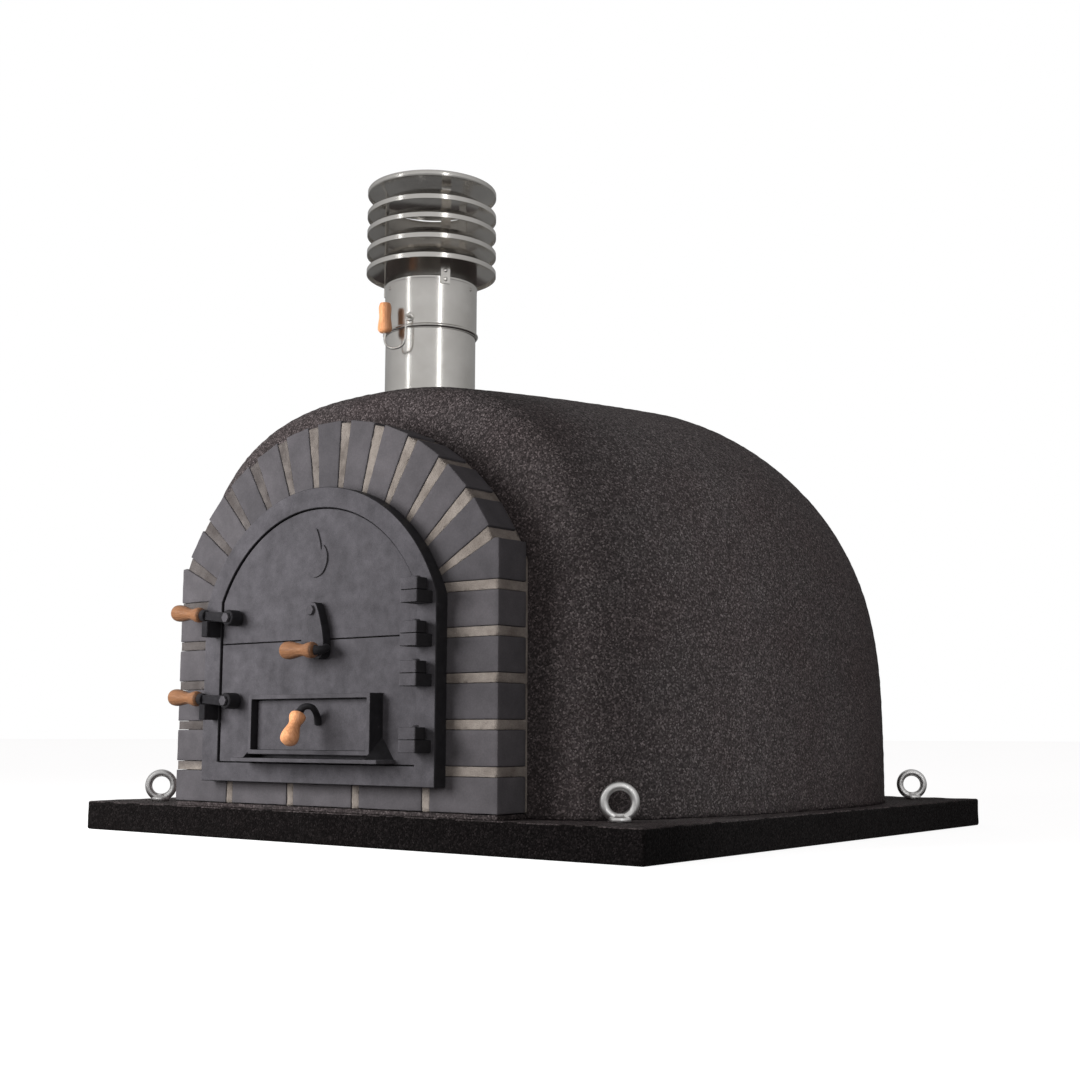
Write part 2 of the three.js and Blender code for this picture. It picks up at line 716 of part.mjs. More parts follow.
function placed(body, from, along) {
  const geometry = geometryOf(body);
  const z = new THREE.Vector3(0, 0, 1);
  const direction = new THREE.Vector3(...along).normalize();
  geometry.applyQuaternion(new THREE.Quaternion().setFromUnitVectors(z, direction));
  geometry.translate(...from);
  return solid(geometry);
}

// The tang that a grip sits on, with a collar at its foot.
function tang(from, along, length) {
  const scale = length / GRIP_L;
  const collar = rod([0, 0, -6], [0, 0, -GAP], 8, 12);
  const pin = rod([0, 0, -3], [0, 0, TANG_L * scale], TANG_R, 10);
  return placed(join(collar, pin), from, along);
}

// ---- side latches ----

function tilted(latch, distance) {
  const a = (latch.tilt * Math.PI) / 180;
  return [LATCH_X - distance * Math.cos(a), LATCH_Y, latch.z + distance * Math.sin(a)];
}

function latchDirection(latch) {
  const a = (latch.tilt * Math.PI) / 180;
  return [-Math.cos(a), 0, Math.sin(a)];
}

function latchLever(latch) {
  const boss = rod([LATCH_X, LATCH_Y - 5, latch.z], [LATCH_X, LEAF_FRONT - 1, latch.z], BOSS_R, 18);
  const arm = new THREE.BoxGeometry(LATCH_ARM - 4, LEVER_T, LEVER_H);
  arm.translate(-(LATCH_ARM - 4) / 2, 0, 0);
  arm.rotateY((latch.tilt * Math.PI) / 180);
  arm.translate(LATCH_X, LATCH_Y, latch.z);
  const handle = tang(tilted(latch, LATCH_ARM), latchDirection(latch), GRIP_L);
  const bore = rod([LATCH_X, LATCH_Y - 20, latch.z], [LATCH_X, LEAF_FRONT + 1, latch.z], BOLT_R + 0.5, 12);
  return cut(join(boss, solid(arm), handle), bore);
}

function latchBolt(x, front, z) {
  const head = rod([x, front - 7, z], [x, front - GAP, z], BOLT_HEAD_R, 6);
  const shaft = rod([x, front - 2, z], [x, LEAF_FRONT + LEAF_T - 1, z], BOLT_R, 12);
  return join(head, shaft);
}

// ---- middle latch ----

const MIDDLE_PLATE = [
  [2, 12],
  [-6, 8],
  [-17, -17],
  [-21, -44],
  [-19, -58],
  [-6, -68],
  [14, -73],
  [25, -67],
  [27, -53],
  [25, -35],
  [19, -13],
  [10, 8],
];
const MIDDLE_FRONT = -590;
const MIDDLE_BACK = -574;
const MIDDLE_GRIP_FROM = [38, -608, 284.3];
const MIDDLE_GRIP_ALONG = [-1, 0, 0.02];

// A thick drop-shaped plate on its bolt, with a horn that carries the grip across its foot.
function middleLatch() {
  const { x, z } = MIDDLE;
  const plate = plateXZ(MIDDLE_PLATE.map(([a, b]) => [x + a, z + b]), MIDDLE_FRONT, MIDDLE_BACK);
  const [gripX, gripY, gripZ] = MIDDLE_GRIP_FROM;
  const hornPath = [
    [gripX - 4, MIDDLE_FRONT + 6, gripZ + 6],
    [gripX + 8, MIDDLE_FRONT - 3, gripZ + 2],
    [gripX + 6.7, gripY, gripZ],
  ];
  const horn = bar(hornPath, 5.5, 8, 8);
  const handle = tang(MIDDLE_GRIP_FROM, MIDDLE_GRIP_ALONG, GRIP_L);
  const bore = rod([x, MIDDLE_FRONT - 10, z], [x, LEAF_FRONT + 1, z], BOLT_R + 0.5, 12);
  return cut(join(plate, horn, handle), bore);
}

// ---- air flap ----

const FLAP_GRIP_FROM = [22.5, -622, 191];
const FLAP_GRIP_ALONG = [0.18, -0.56, -0.81];
const FLAP_GRIP_L = 52;
const FLAP_ARM = [
  [29, FLAP_AXIS_Y - 3, 178],
  [33, -596, 190],
  [39, -608, 201],
  [35, -616, 203],
  [27, -619.5, 200.5],
  [21.3, -618.4, 196.5],
];
const FLAP_ARM_R = 4.5;

function airFlap() {
  const x0 = FLAP_BOX.x0 + FLAP_BOX_WALL + FLAP_GAP;
  const x1 = FLAP_BOX.x1 - FLAP_BOX_WALL - FLAP_GAP;
  const top = FLAP_BOX.z1 - FLAP_BOX_WALL - FLAP_GAP;
  const back = FLAP_SEAT_Y - 0.5;
  const plate = box(x0, x1, back - FLAP_T, back, FLAP_AXIS_Z, top);
  const barrel = rod([x0, FLAP_AXIS_Y, FLAP_AXIS_Z], [x1, FLAP_AXIS_Y, FLAP_AXIS_Z], PIVOT_R + 0.1, 12);
  const pivots = rod(
    [FLAP_BOX.x0 + 2, FLAP_AXIS_Y, FLAP_AXIS_Z],
    [FLAP_BOX.x1 - 2, FLAP_AXIS_Y, FLAP_AXIS_Z],
    PIVOT_R,
    12,
  );
  const handle = tang(FLAP_GRIP_FROM, FLAP_GRIP_ALONG, FLAP_GRIP_L);
  return join(plate, barrel, pivots, bar(FLAP_ARM, FLAP_ARM_R, 8, 8), handle);
}

// ---- flue ----

function pipe(outer, wall, bottom, top) {
  const outside = rod([0, FLUE_Y, bottom], [0, FLUE_Y, top], outer, PIPE_SIDES);
  return cut(outside, rod([0, FLUE_Y, bottom - 1], [0, FLUE_Y, top + 1], outer - wall, PIPE_SIDES));
}

function damperDirection() {
  const a = (DAMPER_TURN * Math.PI) / 180;
  return [Math.sin(a), -Math.cos(a)];
}

function spindleBore() {
  const [dx, dy] = damperDirection();
  const [back, front] = [-100, 100].map((reach) => [dx * reach, FLUE_Y + dy * reach, DAMPER_Z]);
  return rod(back, front, SPINDLE_R + 0.5, 12);
}

function upperPipe() {
  const tube = pipe(UPPER_PIPE_R, PIPE_WALL, UPPER_PIPE_BOTTOM, UPPER_PIPE_TOP);
  const bead = pipe(UPPER_PIPE_R + 2.4, PIPE_WALL + 2.4, UPPER_PIPE_BOTTOM, UPPER_PIPE_BOTTOM + 7);
  return cut(join(tube, bead), spindleBore());
}

const WIRE_R = 2;
const WIRE_REACH = 91;
const WIRE_PATH = [
  [0, -86, 0],
  [0, -WIRE_REACH, -3],
  [0, -WIRE_REACH, -18],
  [0, -WIRE_REACH, -42],
  [-5, -WIRE_REACH, -51],
  [-20, -WIRE_REACH, -53],
  [-34, -WIRE_REACH, -47],
  [-38, -WIRE_REACH, -35],
];
const DAMPER_GRIP = { x: -38, z: -26 };
const DAMPER_GRIP_PROFILE = [
  [0, 0],
  [8.5, 0],
  [11.5, 5],
  [11.5, 14],
  [9.6, 25],
  [10.4, 38],
  [10, 46],
  [6, 50],
  [0, 50],
];

// The damper in its own frame: the spindle lies along -Y, the origin is on the flue's axis.
function damperParts() {
  const disc = [];
  for (let i = 0; i < PIPE_SIDES; i++) {
    const a = (2 * Math.PI * i) / PIPE_SIDES;
    disc.push([DAMPER_R * Math.sin(a), DAMPER_R * Math.cos(a)]);
  }
  const plate = new THREE.ExtrudeGeometry(shapeOf(disc), { depth: DISC_T, bevelEnabled: false });
  plate.rotateY(Math.PI / 2);
  plate.translate(-DISC_T / 2, 0, 0);
  const spindle = rod([0, 86, 0], [0, -89, 0], SPINDLE_R, 10);
  const { x, z } = DAMPER_GRIP;
  const pin = rod([x, -WIRE_REACH, z - 10], [x, -WIRE_REACH, z + 30], WIRE_R, 8);
  const handle = cut(solid(turned(DAMPER_GRIP_PROFILE, 12)), rod([0, 0, -1], [0, 0, 32], WIRE_R + 0.4, 8));
  const grip = geometryOf(handle);
  grip.translate(x, -WIRE_REACH, z);
  return { damper: geometryOf(join(solid(plate), spindle, bar(WIRE_PATH, WIRE_R, 6, 16), pin)), grip };
}

function cowl() {
  const t = SHEET_T;
  const cap = solid(
    turned(
      [
        [0, CAP_LEVEL + 14],
        [COWL_R, CAP_LEVEL],
        [COWL_R, CAP_LEVEL - LIP_H],
        [COWL_R - t, CAP_LEVEL - LIP_H],
        [COWL_R - t, CAP_LEVEL - t],
        [0, CAP_LEVEL + 14 - t],
      ],
      COWL_SIDES,
    ),
  );
  const rings = RIM_LEVELS.map((level) =>
    solid(
      turned(
        [
          [COWL_R - t, level - LIP_H],
          [COWL_R, level - LIP_H],
          [COWL_R, level],
          [COWL_IN_R, level + 18],
          [COWL_IN_R, level + 18 - t],
          [COWL_R - t, level - t],
          [COWL_R - t, level - LIP_H],
        ],
        COWL_SIDES,
      ),
    ),
  );
  const straps = STRAP_ANGLES.map((angle) => {
    const top = CAP_LEVEL + 5;
    const geometry = new THREE.BoxGeometry(STRAP_T, STRAP_W, top - STRAP_BOTTOM);
    geometry.translate(UPPER_PIPE_R + STRAP_T / 2 + 0.5, 0, (top + STRAP_BOTTOM) / 2);
    geometry.rotateZ((angle * Math.PI) / 180);
    return solid(geometry);
  });
  const geometry = geometryOf(join(cap, ...rings, ...straps));
  geometry.translate(0, FLUE_Y, 0);
  return geometry;
}

// ---- assembly ----

add("base_slab", slab(), "render");
for (const [place, where] of Object.entries(eyeboltPlaces())) {
  add(`eyebolt_${place}`, eyebolt(where), "zinc");
}

const doorway = mouthPrism(SHELL_FRONT, DOME_CENTRE[1]);
const domeShell = cut(ellipsoid(0), ellipsoid(-DOME_WALL), underSlab(), doorway);
const passage = mouthPrism(SHELL_FRONT - 10, THROAT_BACK + 10);
const throat = cut(throatPrism(0), passage, ellipsoid(GAP), flueBore(GAP));
add("hearth_floor", hearth(), "firebrick");
add("refractory_dome", domeShell, "firebrick");
add("entrance_throat", throat, "firebrick");

const outside = loaf(0, SLAB_H + GAP);
const insideRender = loaf(RENDER_T, SLAB_H - 10);
const wool = loaf(RENDER_T + GAP, SLAB_H + GAP);
const throatOpening = throatPrism(GAP);
add("insulation_layer", cut(wool, ellipsoid(GAP), throatOpening, flueBore(GAP)), "wool");
add("render_shell", cut(outside, insideRender, throatOpening, flueBore(GAP)), "render");

const outlines = brickOutlines();
for (const [name, outline] of Object.entries(outlines)) {
  add(name, plateXZ(outline, FACE_Y, FACE_Y + BRICK_D - 2), "brick");
}
add("brick_mortar", mortar(outlines), "mortar");

add("door_frame", doorFrame(), "iron");
for (const [name, bottom] of Object.entries(HINGE_BOTTOMS)) {
  add(`hinge_pin_${name}`, hingePin(bottom), "iron");
}
add("door_leaf_upper", upperLeaf(), "iron");
add("door_leaf_lower", lowerLeaf(), "iron");

for (const [name, latch] of Object.entries(LATCHES)) {
  add(`latch_lever_${name}`, latchLever(latch), "iron");
  add(`latch_bolt_${name}`, latchBolt(LATCH_X, LATCH_Y - 5, latch.z), "iron");
  add(`latch_grip_${name}`, grip(tilted(latch, LATCH_ARM), latchDirection(latch), GRIP_L), "wood");
}
add("middle_latch", middleLatch(), "iron");
add("middle_latch_bolt", latchBolt(MIDDLE.x, MIDDLE_FRONT, MIDDLE.z), "iron");
add("middle_latch_grip", grip(MIDDLE_GRIP_FROM, MIDDLE_GRIP_ALONG, GRIP_L), "wood");
add("air_flap", airFlap(), "iron");
add("air_flap_grip", grip(FLAP_GRIP_FROM, FLAP_GRIP_ALONG, FLAP_GRIP_L), "wood");

add("flue_pipe_lower", cut(pipe(PIPE_R, PIPE_WALL, PIPE_BOTTOM, PIPE_TOP), spindleBore()), "steel");
add("flue_pipe_upper", upperPipe(), "steel");
const { damper, grip: damperGrip } = damperParts();
for (const mesh of [add("flue_damper", damper, "steel"), add("flue_damper_grip", damperGrip, "wood")]) {
  mesh.rotation.z = (DAMPER_TURN * Math.PI) / 180;
  mesh.position.set(0, FLUE_Y, DAMPER_Z);
}
add("chimney_cowl", cowl(), "steel");

export default oven;
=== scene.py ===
"""Looks for the wood fired pizza oven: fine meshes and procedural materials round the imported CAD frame.

The builders below work in millimetres, and a mesh is scaled to metres when it becomes a piece.
X runs to the right, Y from the door to the back, and Z up from the slab's underside.
"""

import math

import bmesh
import bpy
from mathutils import Matrix, Vector, noise

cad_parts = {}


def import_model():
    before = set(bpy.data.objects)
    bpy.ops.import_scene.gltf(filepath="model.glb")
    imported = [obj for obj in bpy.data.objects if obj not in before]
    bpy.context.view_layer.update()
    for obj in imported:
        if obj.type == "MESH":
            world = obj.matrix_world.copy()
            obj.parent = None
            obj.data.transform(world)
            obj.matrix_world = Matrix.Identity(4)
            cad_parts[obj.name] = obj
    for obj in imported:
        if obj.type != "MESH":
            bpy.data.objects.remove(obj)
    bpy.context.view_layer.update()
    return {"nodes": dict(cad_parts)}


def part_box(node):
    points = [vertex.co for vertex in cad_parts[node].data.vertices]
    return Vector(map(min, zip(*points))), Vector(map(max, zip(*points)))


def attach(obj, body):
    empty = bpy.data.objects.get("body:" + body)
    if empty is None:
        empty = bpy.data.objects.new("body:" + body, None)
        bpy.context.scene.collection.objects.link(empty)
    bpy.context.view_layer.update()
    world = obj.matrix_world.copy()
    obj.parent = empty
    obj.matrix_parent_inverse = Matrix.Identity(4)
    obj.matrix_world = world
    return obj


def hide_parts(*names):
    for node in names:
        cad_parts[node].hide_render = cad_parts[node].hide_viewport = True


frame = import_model()
MM = 0.001

# ---- sizes, in millimetres ----

SLAB_TOP = 48
BED_TOP = 55
BED_HALF_W = 337

EYE_RING_R = 21
EYE_WIRE_R = 6
EYE_CENTRE = 26

SHELL_FRONT = -485
SHELL_BACK = 511
SHELL_FRONT_HALF_W = 366
SHELL_HALF_W = 542
SHELL_WIDEST_Y = 54
SHELL_FRONT_H = 651
SHELL_H = 687
SHELL_HIGHEST_Y = -39
SHELL_SHOULDER = 34
SHELL_WIDTH_POWER = 2.49
SHELL_HEIGHT_POWER = 4.44
SHELL_FRONT_PLAN_POWER = 2.2
SHELL_BACK_PLAN_POWER = 2.82
SHELL_BACK_RISE_POWER = 2.03
SHELL_T = 14
SHELL_COLUMNS = 240
SHELL_WALL_STEPS = 10

THROAT_HALF_W = 243.5
THROAT_R = 264.5

FACE_Y = -552
ARCH_Z = 270.6
ARC_STEPS = 56

FRAME_FRONT = -576.5
FRAME_BACK = -552.3
SLEEVE_BACK = -500
# An arch's half width, bottom and radius.
FRAME_ARCH = (246.7, 89.6, 262)
SLEEVE_ARCH = (218, 110, 234)
MOUTH_ARCH = (193, 134, 214)
LEAF_FRONT = -573
LEAF_BACK = -563
LEAF_HALF_W = 207.3
LEAF_R = 229.1
LEAF_BOTTOM = 120.3
LEAF_GAP = 1.2
SPLIT_Z = 302.1

HINGE_X = 224
HINGE_Y = -594
HINGE_HALF = 16
HINGE_BOTTOMS = {"lower_a": 137.4, "lower_b": 228.8, "upper_a": 284, "upper_b": 344.5}
HINGE_ROUNDING = 2.5
LUG_H = 17.5
KNUCKLE_GAP = 0.5
KNUCKLE_H = 17
PIN_R = 4
PIN_HEAD_R = 6.4

LATCH_X = -168
LATCH_Y = -592
LATCHES = {
    "upper": {"z": 341.5, "tilt": 6, "keeper": (313, 338)},
    "lower": {"z": 213.2, "tilt": 3, "keeper": (184, 208)},
}
KEEPER_X = (-223.5, -209.5)
KEEPER_FRONT = -604
LATCH_ARM = 70
MIDDLE_X = 10
MIDDLE_Z = 345
BOLT_R = 4
BOLT_HEAD_R = 8

HOUSING = (-112, 144, 132.5, 221)
HOUSING_FRONT = -600
HOUSING_WALL = 7
FLAP_SEAT_Y = -582.4
FLAP_AXIS_Z = 144
VENT = (-97, 129, 148, 206)
SHELF_FRONT = -611
SHELF_TOP = 127
FIN_REACH = 25
FIN_TOP = 161

GRIP_L = 68
SHEET_T = 1.5
FLUE_Y = -323.4
PIPE_R = 75
PIPE_LEVELS = (505, 650, 862)
UPPER_PIPE_R = 76.8
UPPER_PIPE_BOTTOM = 818
UPPER_PIPE_TOP = 958
RIDGE_H = 7
SWAGE_BOTTOM = 900
DAMPER_Z = 836
DAMPER_TURN = 15.9
WIRE_Y = -91
COWL_R = 108.5
COWL_IN_R = 79
RIM_LEVELS = (935, 968, 1002, 1033)
RIM_RISE = 18
CAP_LEVEL = 1072
CAP_RISE = 14
LIP_H = 9
STRAP_ANGLES = (-151, -31, 89)
STRAP_BOTTOM = 892
STRAP_HALF_W = 8
RIVET_ANGLES = (-110.2, 9.8, 129.8)
RIVET_Z = 893
FLUE_PLACE = Matrix.Translation((0, FLUE_Y, 0))


# ---- node helpers ----

class Shader:
    """A node tree with one Principled BSDF, and short calls to add what feeds it."""

    def __init__(self, name):
        self.material = bpy.data.materials.new(name)
        self.material.use_nodes = True
        self.tree = self.material.node_tree
        self.bsdf = self.tree.nodes["Principled BSDF"]
        self.own = None

    def link(self, output, target):
        self.tree.links.new(output, target)

    def value(self, name, number):
        self.bsdf.inputs[name].default_value = number

    def node(self, kind, **settings):
        node = self.tree.nodes.new(kind)
        for key, setting in settings.items():
            setattr(node, key, setting)
        return node

    def coordinates(self, stretch=(1, 1, 1)):
        source = self.node("ShaderNodeTexCoord")
        mapping = self.node("ShaderNodeMapping")
        mapping.inputs["Scale"].default_value = stretch
        self.link(source.outputs["Object"], mapping.inputs["Vector"])
        return mapping.outputs["Vector"]

    def here(self):
        """The piece's own coordinates in metres, made once."""
        self.own = self.own or self.coordinates()
        return self.own

    def axes(self, where=None):
        node = self.node("ShaderNodeSeparateXYZ")
        self.link(where or self.here(), node.inputs["Vector"])
        return node.outputs

    def noise(self, scale, detail, roughness=0.55, where=None):
        node = self.node("ShaderNodeTexNoise")
        node.inputs["Scale"].default_value = scale
        node.inputs["Detail"].default_value = detail
        node.inputs["Roughness"].default_value = roughness
        self.link(where or self.here(), node.inputs["Vector"])
        return node.outputs["Fac"]

    def cells(self, scale):
        node = self.node("ShaderNodeTexVoronoi")
        node.inputs["Scale"].default_value = scale
        self.link(self.here(), node.inputs["Vector"])
        return node.outputs["Distance"], node.outputs["Color"]

    def ramp(self, factor, *stops):
        """A colour ramp. A stop is a place and a colour, or a place and a grey."""
        node = self.node("ShaderNodeValToRGB")
        elements = node.color_ramp.elements
        while len(elements) < len(stops):
            elements.new(1.0)
        for element, (place, color) in zip(elements, stops):
            shade = color if isinstance(color, tuple) else (color, color, color)
            element.position = place
            element.color = (*shade, 1.0)
        self.link(factor, node.inputs["Fac"])
        return node.outputs["Color"]

    def tinted(self, base, amount, factor, *stops):
        """The base colour, multiplied by a ramp as far as the amount says."""
        node = self.node("ShaderNodeMix", data_type="RGBA", blend_type="MULTIPLY")
        node.inputs[0].default_value = amount
        self.link(base, node.inputs[6])
        self.link(self.ramp(factor, *stops), node.inputs[7])
        return node.outputs[2]

    def maths(self, operation, a, b):
        node = self.node("ShaderNodeMath", operation=operation)
        for socket, item in zip(node.inputs, (a, b)):
            if isinstance(item, (int, float)):
                socket.default_value = item
            else:
                self.link(item, socket)
        return node.outputs[0]

    def weighted(self, *parts):
        """The sum of some outputs, each times its weight."""
        total = None
        for output, weight in parts:
            part = output if weight == 1 else self.maths("MULTIPLY", output, weight)
            total = part if total is None else self.maths("ADD", total, part)
        return total

    def finish(self, color, rough, bump):
        """The colour, the roughness as (factor, low, high) and the bump as (height, strength, distance)."""
        levels = self.node("ShaderNodeMapRange")
        self.link(rough[0], levels.inputs["Value"])
        levels.inputs["To Min"].default_value = rough[1]
        levels.inputs["To Max"].default_value = rough[2]
        relief = self.node("ShaderNodeBump")
        self.link(bump[0], relief.inputs["Height"])
        relief.inputs["Strength"].default_value = bump[1]
        relief.inputs["Distance"].default_value = bump[2]
        self.link(color, self.bsdf.inputs["Base Color"])
        self.link(levels.outputs["Result"], self.bsdf.inputs["Roughness"])
        self.link(relief.outputs["Normal"], self.bsdf.inputs["Normal"])
        return self.material


# ---- materials ----

GRAIN_TONES = ((0.0, 0.034), (0.4, 0.05), (0.7, 0.083), (0.92, 0.13), (1.0, 0.21))


def coat_material(name, shade):
    """Hard black granulate: dark grains with some paler ones, and a faint warm cast."""
    s = Shader(name)
    distance, color = s.cells(460)
    grain = s.node("ShaderNodeSeparateColor")
    s.link(color, grain.inputs["Color"])
    broad = s.noise(9, 3)
    fine = s.noise(900, 2)
    stops = []
    for place, tone in GRAIN_TONES:
        stops.append((place, (shade * tone, shade * tone * 0.95, shade * tone * 0.95)))
    base = s.ramp(grain.outputs["Red"], *stops)
    base = s.tinted(base, 1.0, broad, (0.3, (1.0, 0.92, 0.92)), (0.7, (1.05, 1.02, 1.02)))
    # Painted light along the depth: a painted shadow near the door, a painted sheen brighter across the
    # middle, and painted shade darker again at the back.
    base = s.tinted(
        base,
        1.0,
        s.maths("ADD", s.axes()["Y"], 0.5),
        (0.02, (0.5, 0.47, 0.47)),
        (0.16, 1.2),
        (0.3, 1.45),
        (0.62, (1.2, 1.17, 1.17)),
        (0.95, (0.5, 0.42, 0.42)),
    )
    s.value("Specular IOR Level", 0.06)
    height = s.weighted((distance, -0.8), (fine, 0.3), (grain.outputs["Blue"], 0.5))
    return s.finish(base, (grain.outputs["Green"], 0.45, 0.85), (height, 0.8, 0.0012))


def brick_material():
    """Smooth charcoal brick with a faint violet cast, each one fired a little differently."""
    s = Shader("brick")
    each = s.node("ShaderNodeObjectInfo").outputs["Random"]
    broad = s.noise(26, 5)
    fine = s.noise(420, 4, 0.7)
    pit, _ = s.cells(260)
    base = s.ramp(broad, (0.3, (0.05, 0.0475, 0.051)), (0.7, (0.068, 0.064, 0.069)))
    base = s.tinted(base, 1.0, each, (0.0, 0.9), (1.0, (1.1, 1.09, 1.08)))
    base = s.tinted(base, 0.6, fine, (0.42, 0.85), (0.62, 1.08))
    s.value("Specular IOR Level", 0.15)
    height = s.weighted((fine, 0.7), (pit, 0.25))
    return s.finish(base, (broad, 0.68, 0.85), (height, 0.4, 0.0007))


def mortar_material():
    """Sandy lime mortar, warm grey, sootier towards the left of the face."""
    s = Shader("mortar")
    broad = s.noise(30, 5)
    sand, _ = s.cells(700)
    fine = s.noise(500, 5, 0.75)
    across = s.axes()
    low_down = s.ramp(across["Z"], (0.09, 1), (0.13, 0))
    side = s.weighted((across["X"], 1.5), (broad, 0.5), (low_down, 1))
    base = s.ramp(broad, (0.3, (0.12, 0.105, 0.095)), (0.7, (0.215, 0.195, 0.18)))
    base = s.tinted(base, 1.0, side, (0.0, (0.42, 0.42, 0.44)), (0.4, (1.0, 0.98, 0.95)))
    base = s.tinted(base, 0.5, fine, (0.35, 0.6), (0.65, 1.2))
    s.value("Specular IOR Level", 0.15)
    height = s.weighted((sand, -0.5), (fine, 1))
    return s.finish(base, (fine, 0.85, 1.0), (height, 0.8, 0.0014))


def firebrick_material():
    """Cream firebrick, sooted in patches."""
    s = Shader("firebrick")
    soot = s.noise(6, 5)
    fine = s.noise(300, 5, 0.7)
    base = s.ramp(soot, (0.35, (0.2, 0.15, 0.1)), (0.65, (0.5, 0.38, 0.24)))
    base = s.tinted(base, 0.5, fine, (0.35, 0.7), (0.65, 1.1))
    return s.finish(base, (fine, 0.85, 1.0), (fine, 0.5, 0.001))


def wool_material():
    """Pale ceramic fibre blanket."""
    s = Shader("wool")
    fibre = s.noise(220, 8, 0.8)
    base = s.ramp(fibre, (0.3, (0.55, 0.53, 0.5)), (0.7, (0.8, 0.78, 0.75)))
    return s.finish(base, (fibre, 0.9, 1.0), (fibre, 0.8, 0.002))


def iron_material():
    """Grey cast iron: sand-cast grain, a dull sheen and paler rubbed patches."""
    s = Shader("iron")
    broad = s.noise(14, 6, 0.65)
    sand = s.noise(520, 5, 0.75)
    lumps = s.noise(110, 4)
    cloud = s.noise(42, 6, 0.7)
    base = s.ramp(broad, (0.3, (0.042, 0.04, 0.044)), (0.7, (0.062, 0.059, 0.065)))
    base = s.tinted(base, 0.8, cloud, (0.32, 0.72), (0.66, 1.2))
    base = s.tinted(base, 0.6, sand, (0.38, 0.7), (0.64, 1.2))
    s.value("Specular IOR Level", 0.25)
    dull = s.weighted((broad, 0.5), (sand, 0.5))
    height = s.weighted((sand, 1), (lumps, 0.8))
    return s.finish(base, (dull, 0.5, 0.75), (height, 0.5, 0.0009))


def hardware_material():
    """Iron fittings under black paint, rubbed a little."""
    s = Shader("hardware")
    wear = s.noise(90, 5, 0.7)
    fine = s.noise(600, 4, 0.7)
    s.value("Specular IOR Level", 0.2)
    base = s.ramp(
        wear,
        (0.35, (0.009, 0.0085, 0.0095)),
        (0.62, (0.014, 0.0135, 0.015)),
        (0.8, (0.04, 0.038, 0.041)),
    )
    return s.finish(base, (wear, 0.4, 0.65), (fine, 0.35, 0.0006))


def steel_material():
    """Rolled stainless sheet with faint upright streaks."""
    s = Shader("steel")
    streaks = s.noise(1.0, 3, where=s.coordinates((900, 900, 14)))
    cloud = s.noise(16, 3)
    s.value("Metallic", 1.0)
    base = s.ramp(cloud, (0.3, (0.66, 0.635, 0.6)), (0.7, (0.78, 0.755, 0.72)))
    dull = s.weighted((streaks, 0.6), (cloud, 0.4))
    height = s.weighted((streaks, 0.1), (cloud, 1))
    return s.finish(base, (dull, 0.12, 0.28), (height, 0.1, 0.0006))


def zinc_material():
    """Bright zinc plate on forged steel, with a soft orange-peel skin."""
    s = Shader("zinc")
    peel = s.noise(240, 3)
    broad = s.noise(60, 3)
    s.value("Metallic", 1.0)
    base = s.ramp(broad, (0.3, (0.78, 0.76, 0.75)), (0.7, (0.93, 0.92, 0.91)))
    return s.finish(base, (broad, 0.3, 0.5), (peel, 0.2, 0.0008))


def wood_material(name, shade):
    """Varnished beech, with the grain along each grip."""
    s = Shader(name)
    grain = s.noise(1.0, 6, 0.6, s.coordinates((420, 420, 26)))
    flecks = s.noise(1.0, 2, where=s.coordinates((1500, 1500, 180)))
    tones = ((0.25, (0.65, 0.27, 0.11)), (0.5, (1.0, 0.46, 0.21)), (0.75, (1.3, 0.66, 0.33)))
    base = s.ramp(grain, *[(place, tuple(shade * c for c in tone)) for place, tone in tones])
    base = s.tinted(base, 0.35, flecks, (0.4, (0.6, 0.55, 0.5)), (0.6, 1.1))
    s.value("Coat Weight", 0.35)
    s.value("Coat Roughness", 0.25)
    return s.finish(base, (grain, 0.38, 0.55), (grain, 0.25, 0.0006))


MATERIALS = {
    "coat": coat_material("coat", 1.0),
    "slab_coat": coat_material("slab_coat", 0.9),
    # A much darker copy of the coat for the slab's sides: painted shade.
    "slab_side_shade": coat_material("slab_side_shade", 0.13),
    "brick": brick_material(),
    "mortar": mortar_material(),
    "firebrick": firebrick_material(),
    "wool": wool_material(),
    "iron": iron_material(),
    "hardware": hardware_material(),
    "steel": steel_material(),
    "zinc": zinc_material(),
    "wood": wood_material("wood", 0.16),
    # A paler copy of the wood: partly a paler wood, partly painted light for grips the lamps reach less.
    "pale_and_lit_wood": wood_material("pale_and_lit_wood", 0.55),
}


# ---- mesh helpers ----

def built(add, *what, **settings):
    """A new bmesh with one shape in it."""
    bm = bmesh.new()
    add(bm, *what, **settings)
    return bm


def turns(count):
    """Evenly spaced angles round a circle."""
    return [2 * math.pi * i / count for i in range(count)]


def add_loops(bm, loops, closed_loop=True, closed_run=False):
    """Quads between successive loops of equal length."""
    rings = [[bm.verts.new(p) for p in loop] for loop in loops]
    runs = list(zip(rings, rings[1:]))
    if closed_run:
        runs.append((rings[-1], rings[0]))
    for a, b in runs:
        n = len(a)
        for i in range(n if closed_loop else n - 1):
            j = (i + 1) % n
            bm.faces.new((a[i], a[j], b[j], b[i]))
    return rings


def add_capped(bm, loops):
    """Quads between successive loops, and a face over each end."""
    rings = add_loops(bm, loops)
    bm.faces.new(rings[0])
    bm.faces.new(rings[-1])


def add_prism(bm, outline, y0, y1):
    """An outline in X and Z, filled between two Y planes."""
    add_capped(bm, [at_y(outline, y) for y in (y0, y1)])


def add_block(bm, x, y, z):
    """A box between two corners, each given as (low, high) on one axis."""
    add_prism(bm, rectangle(*x, *z), *y)


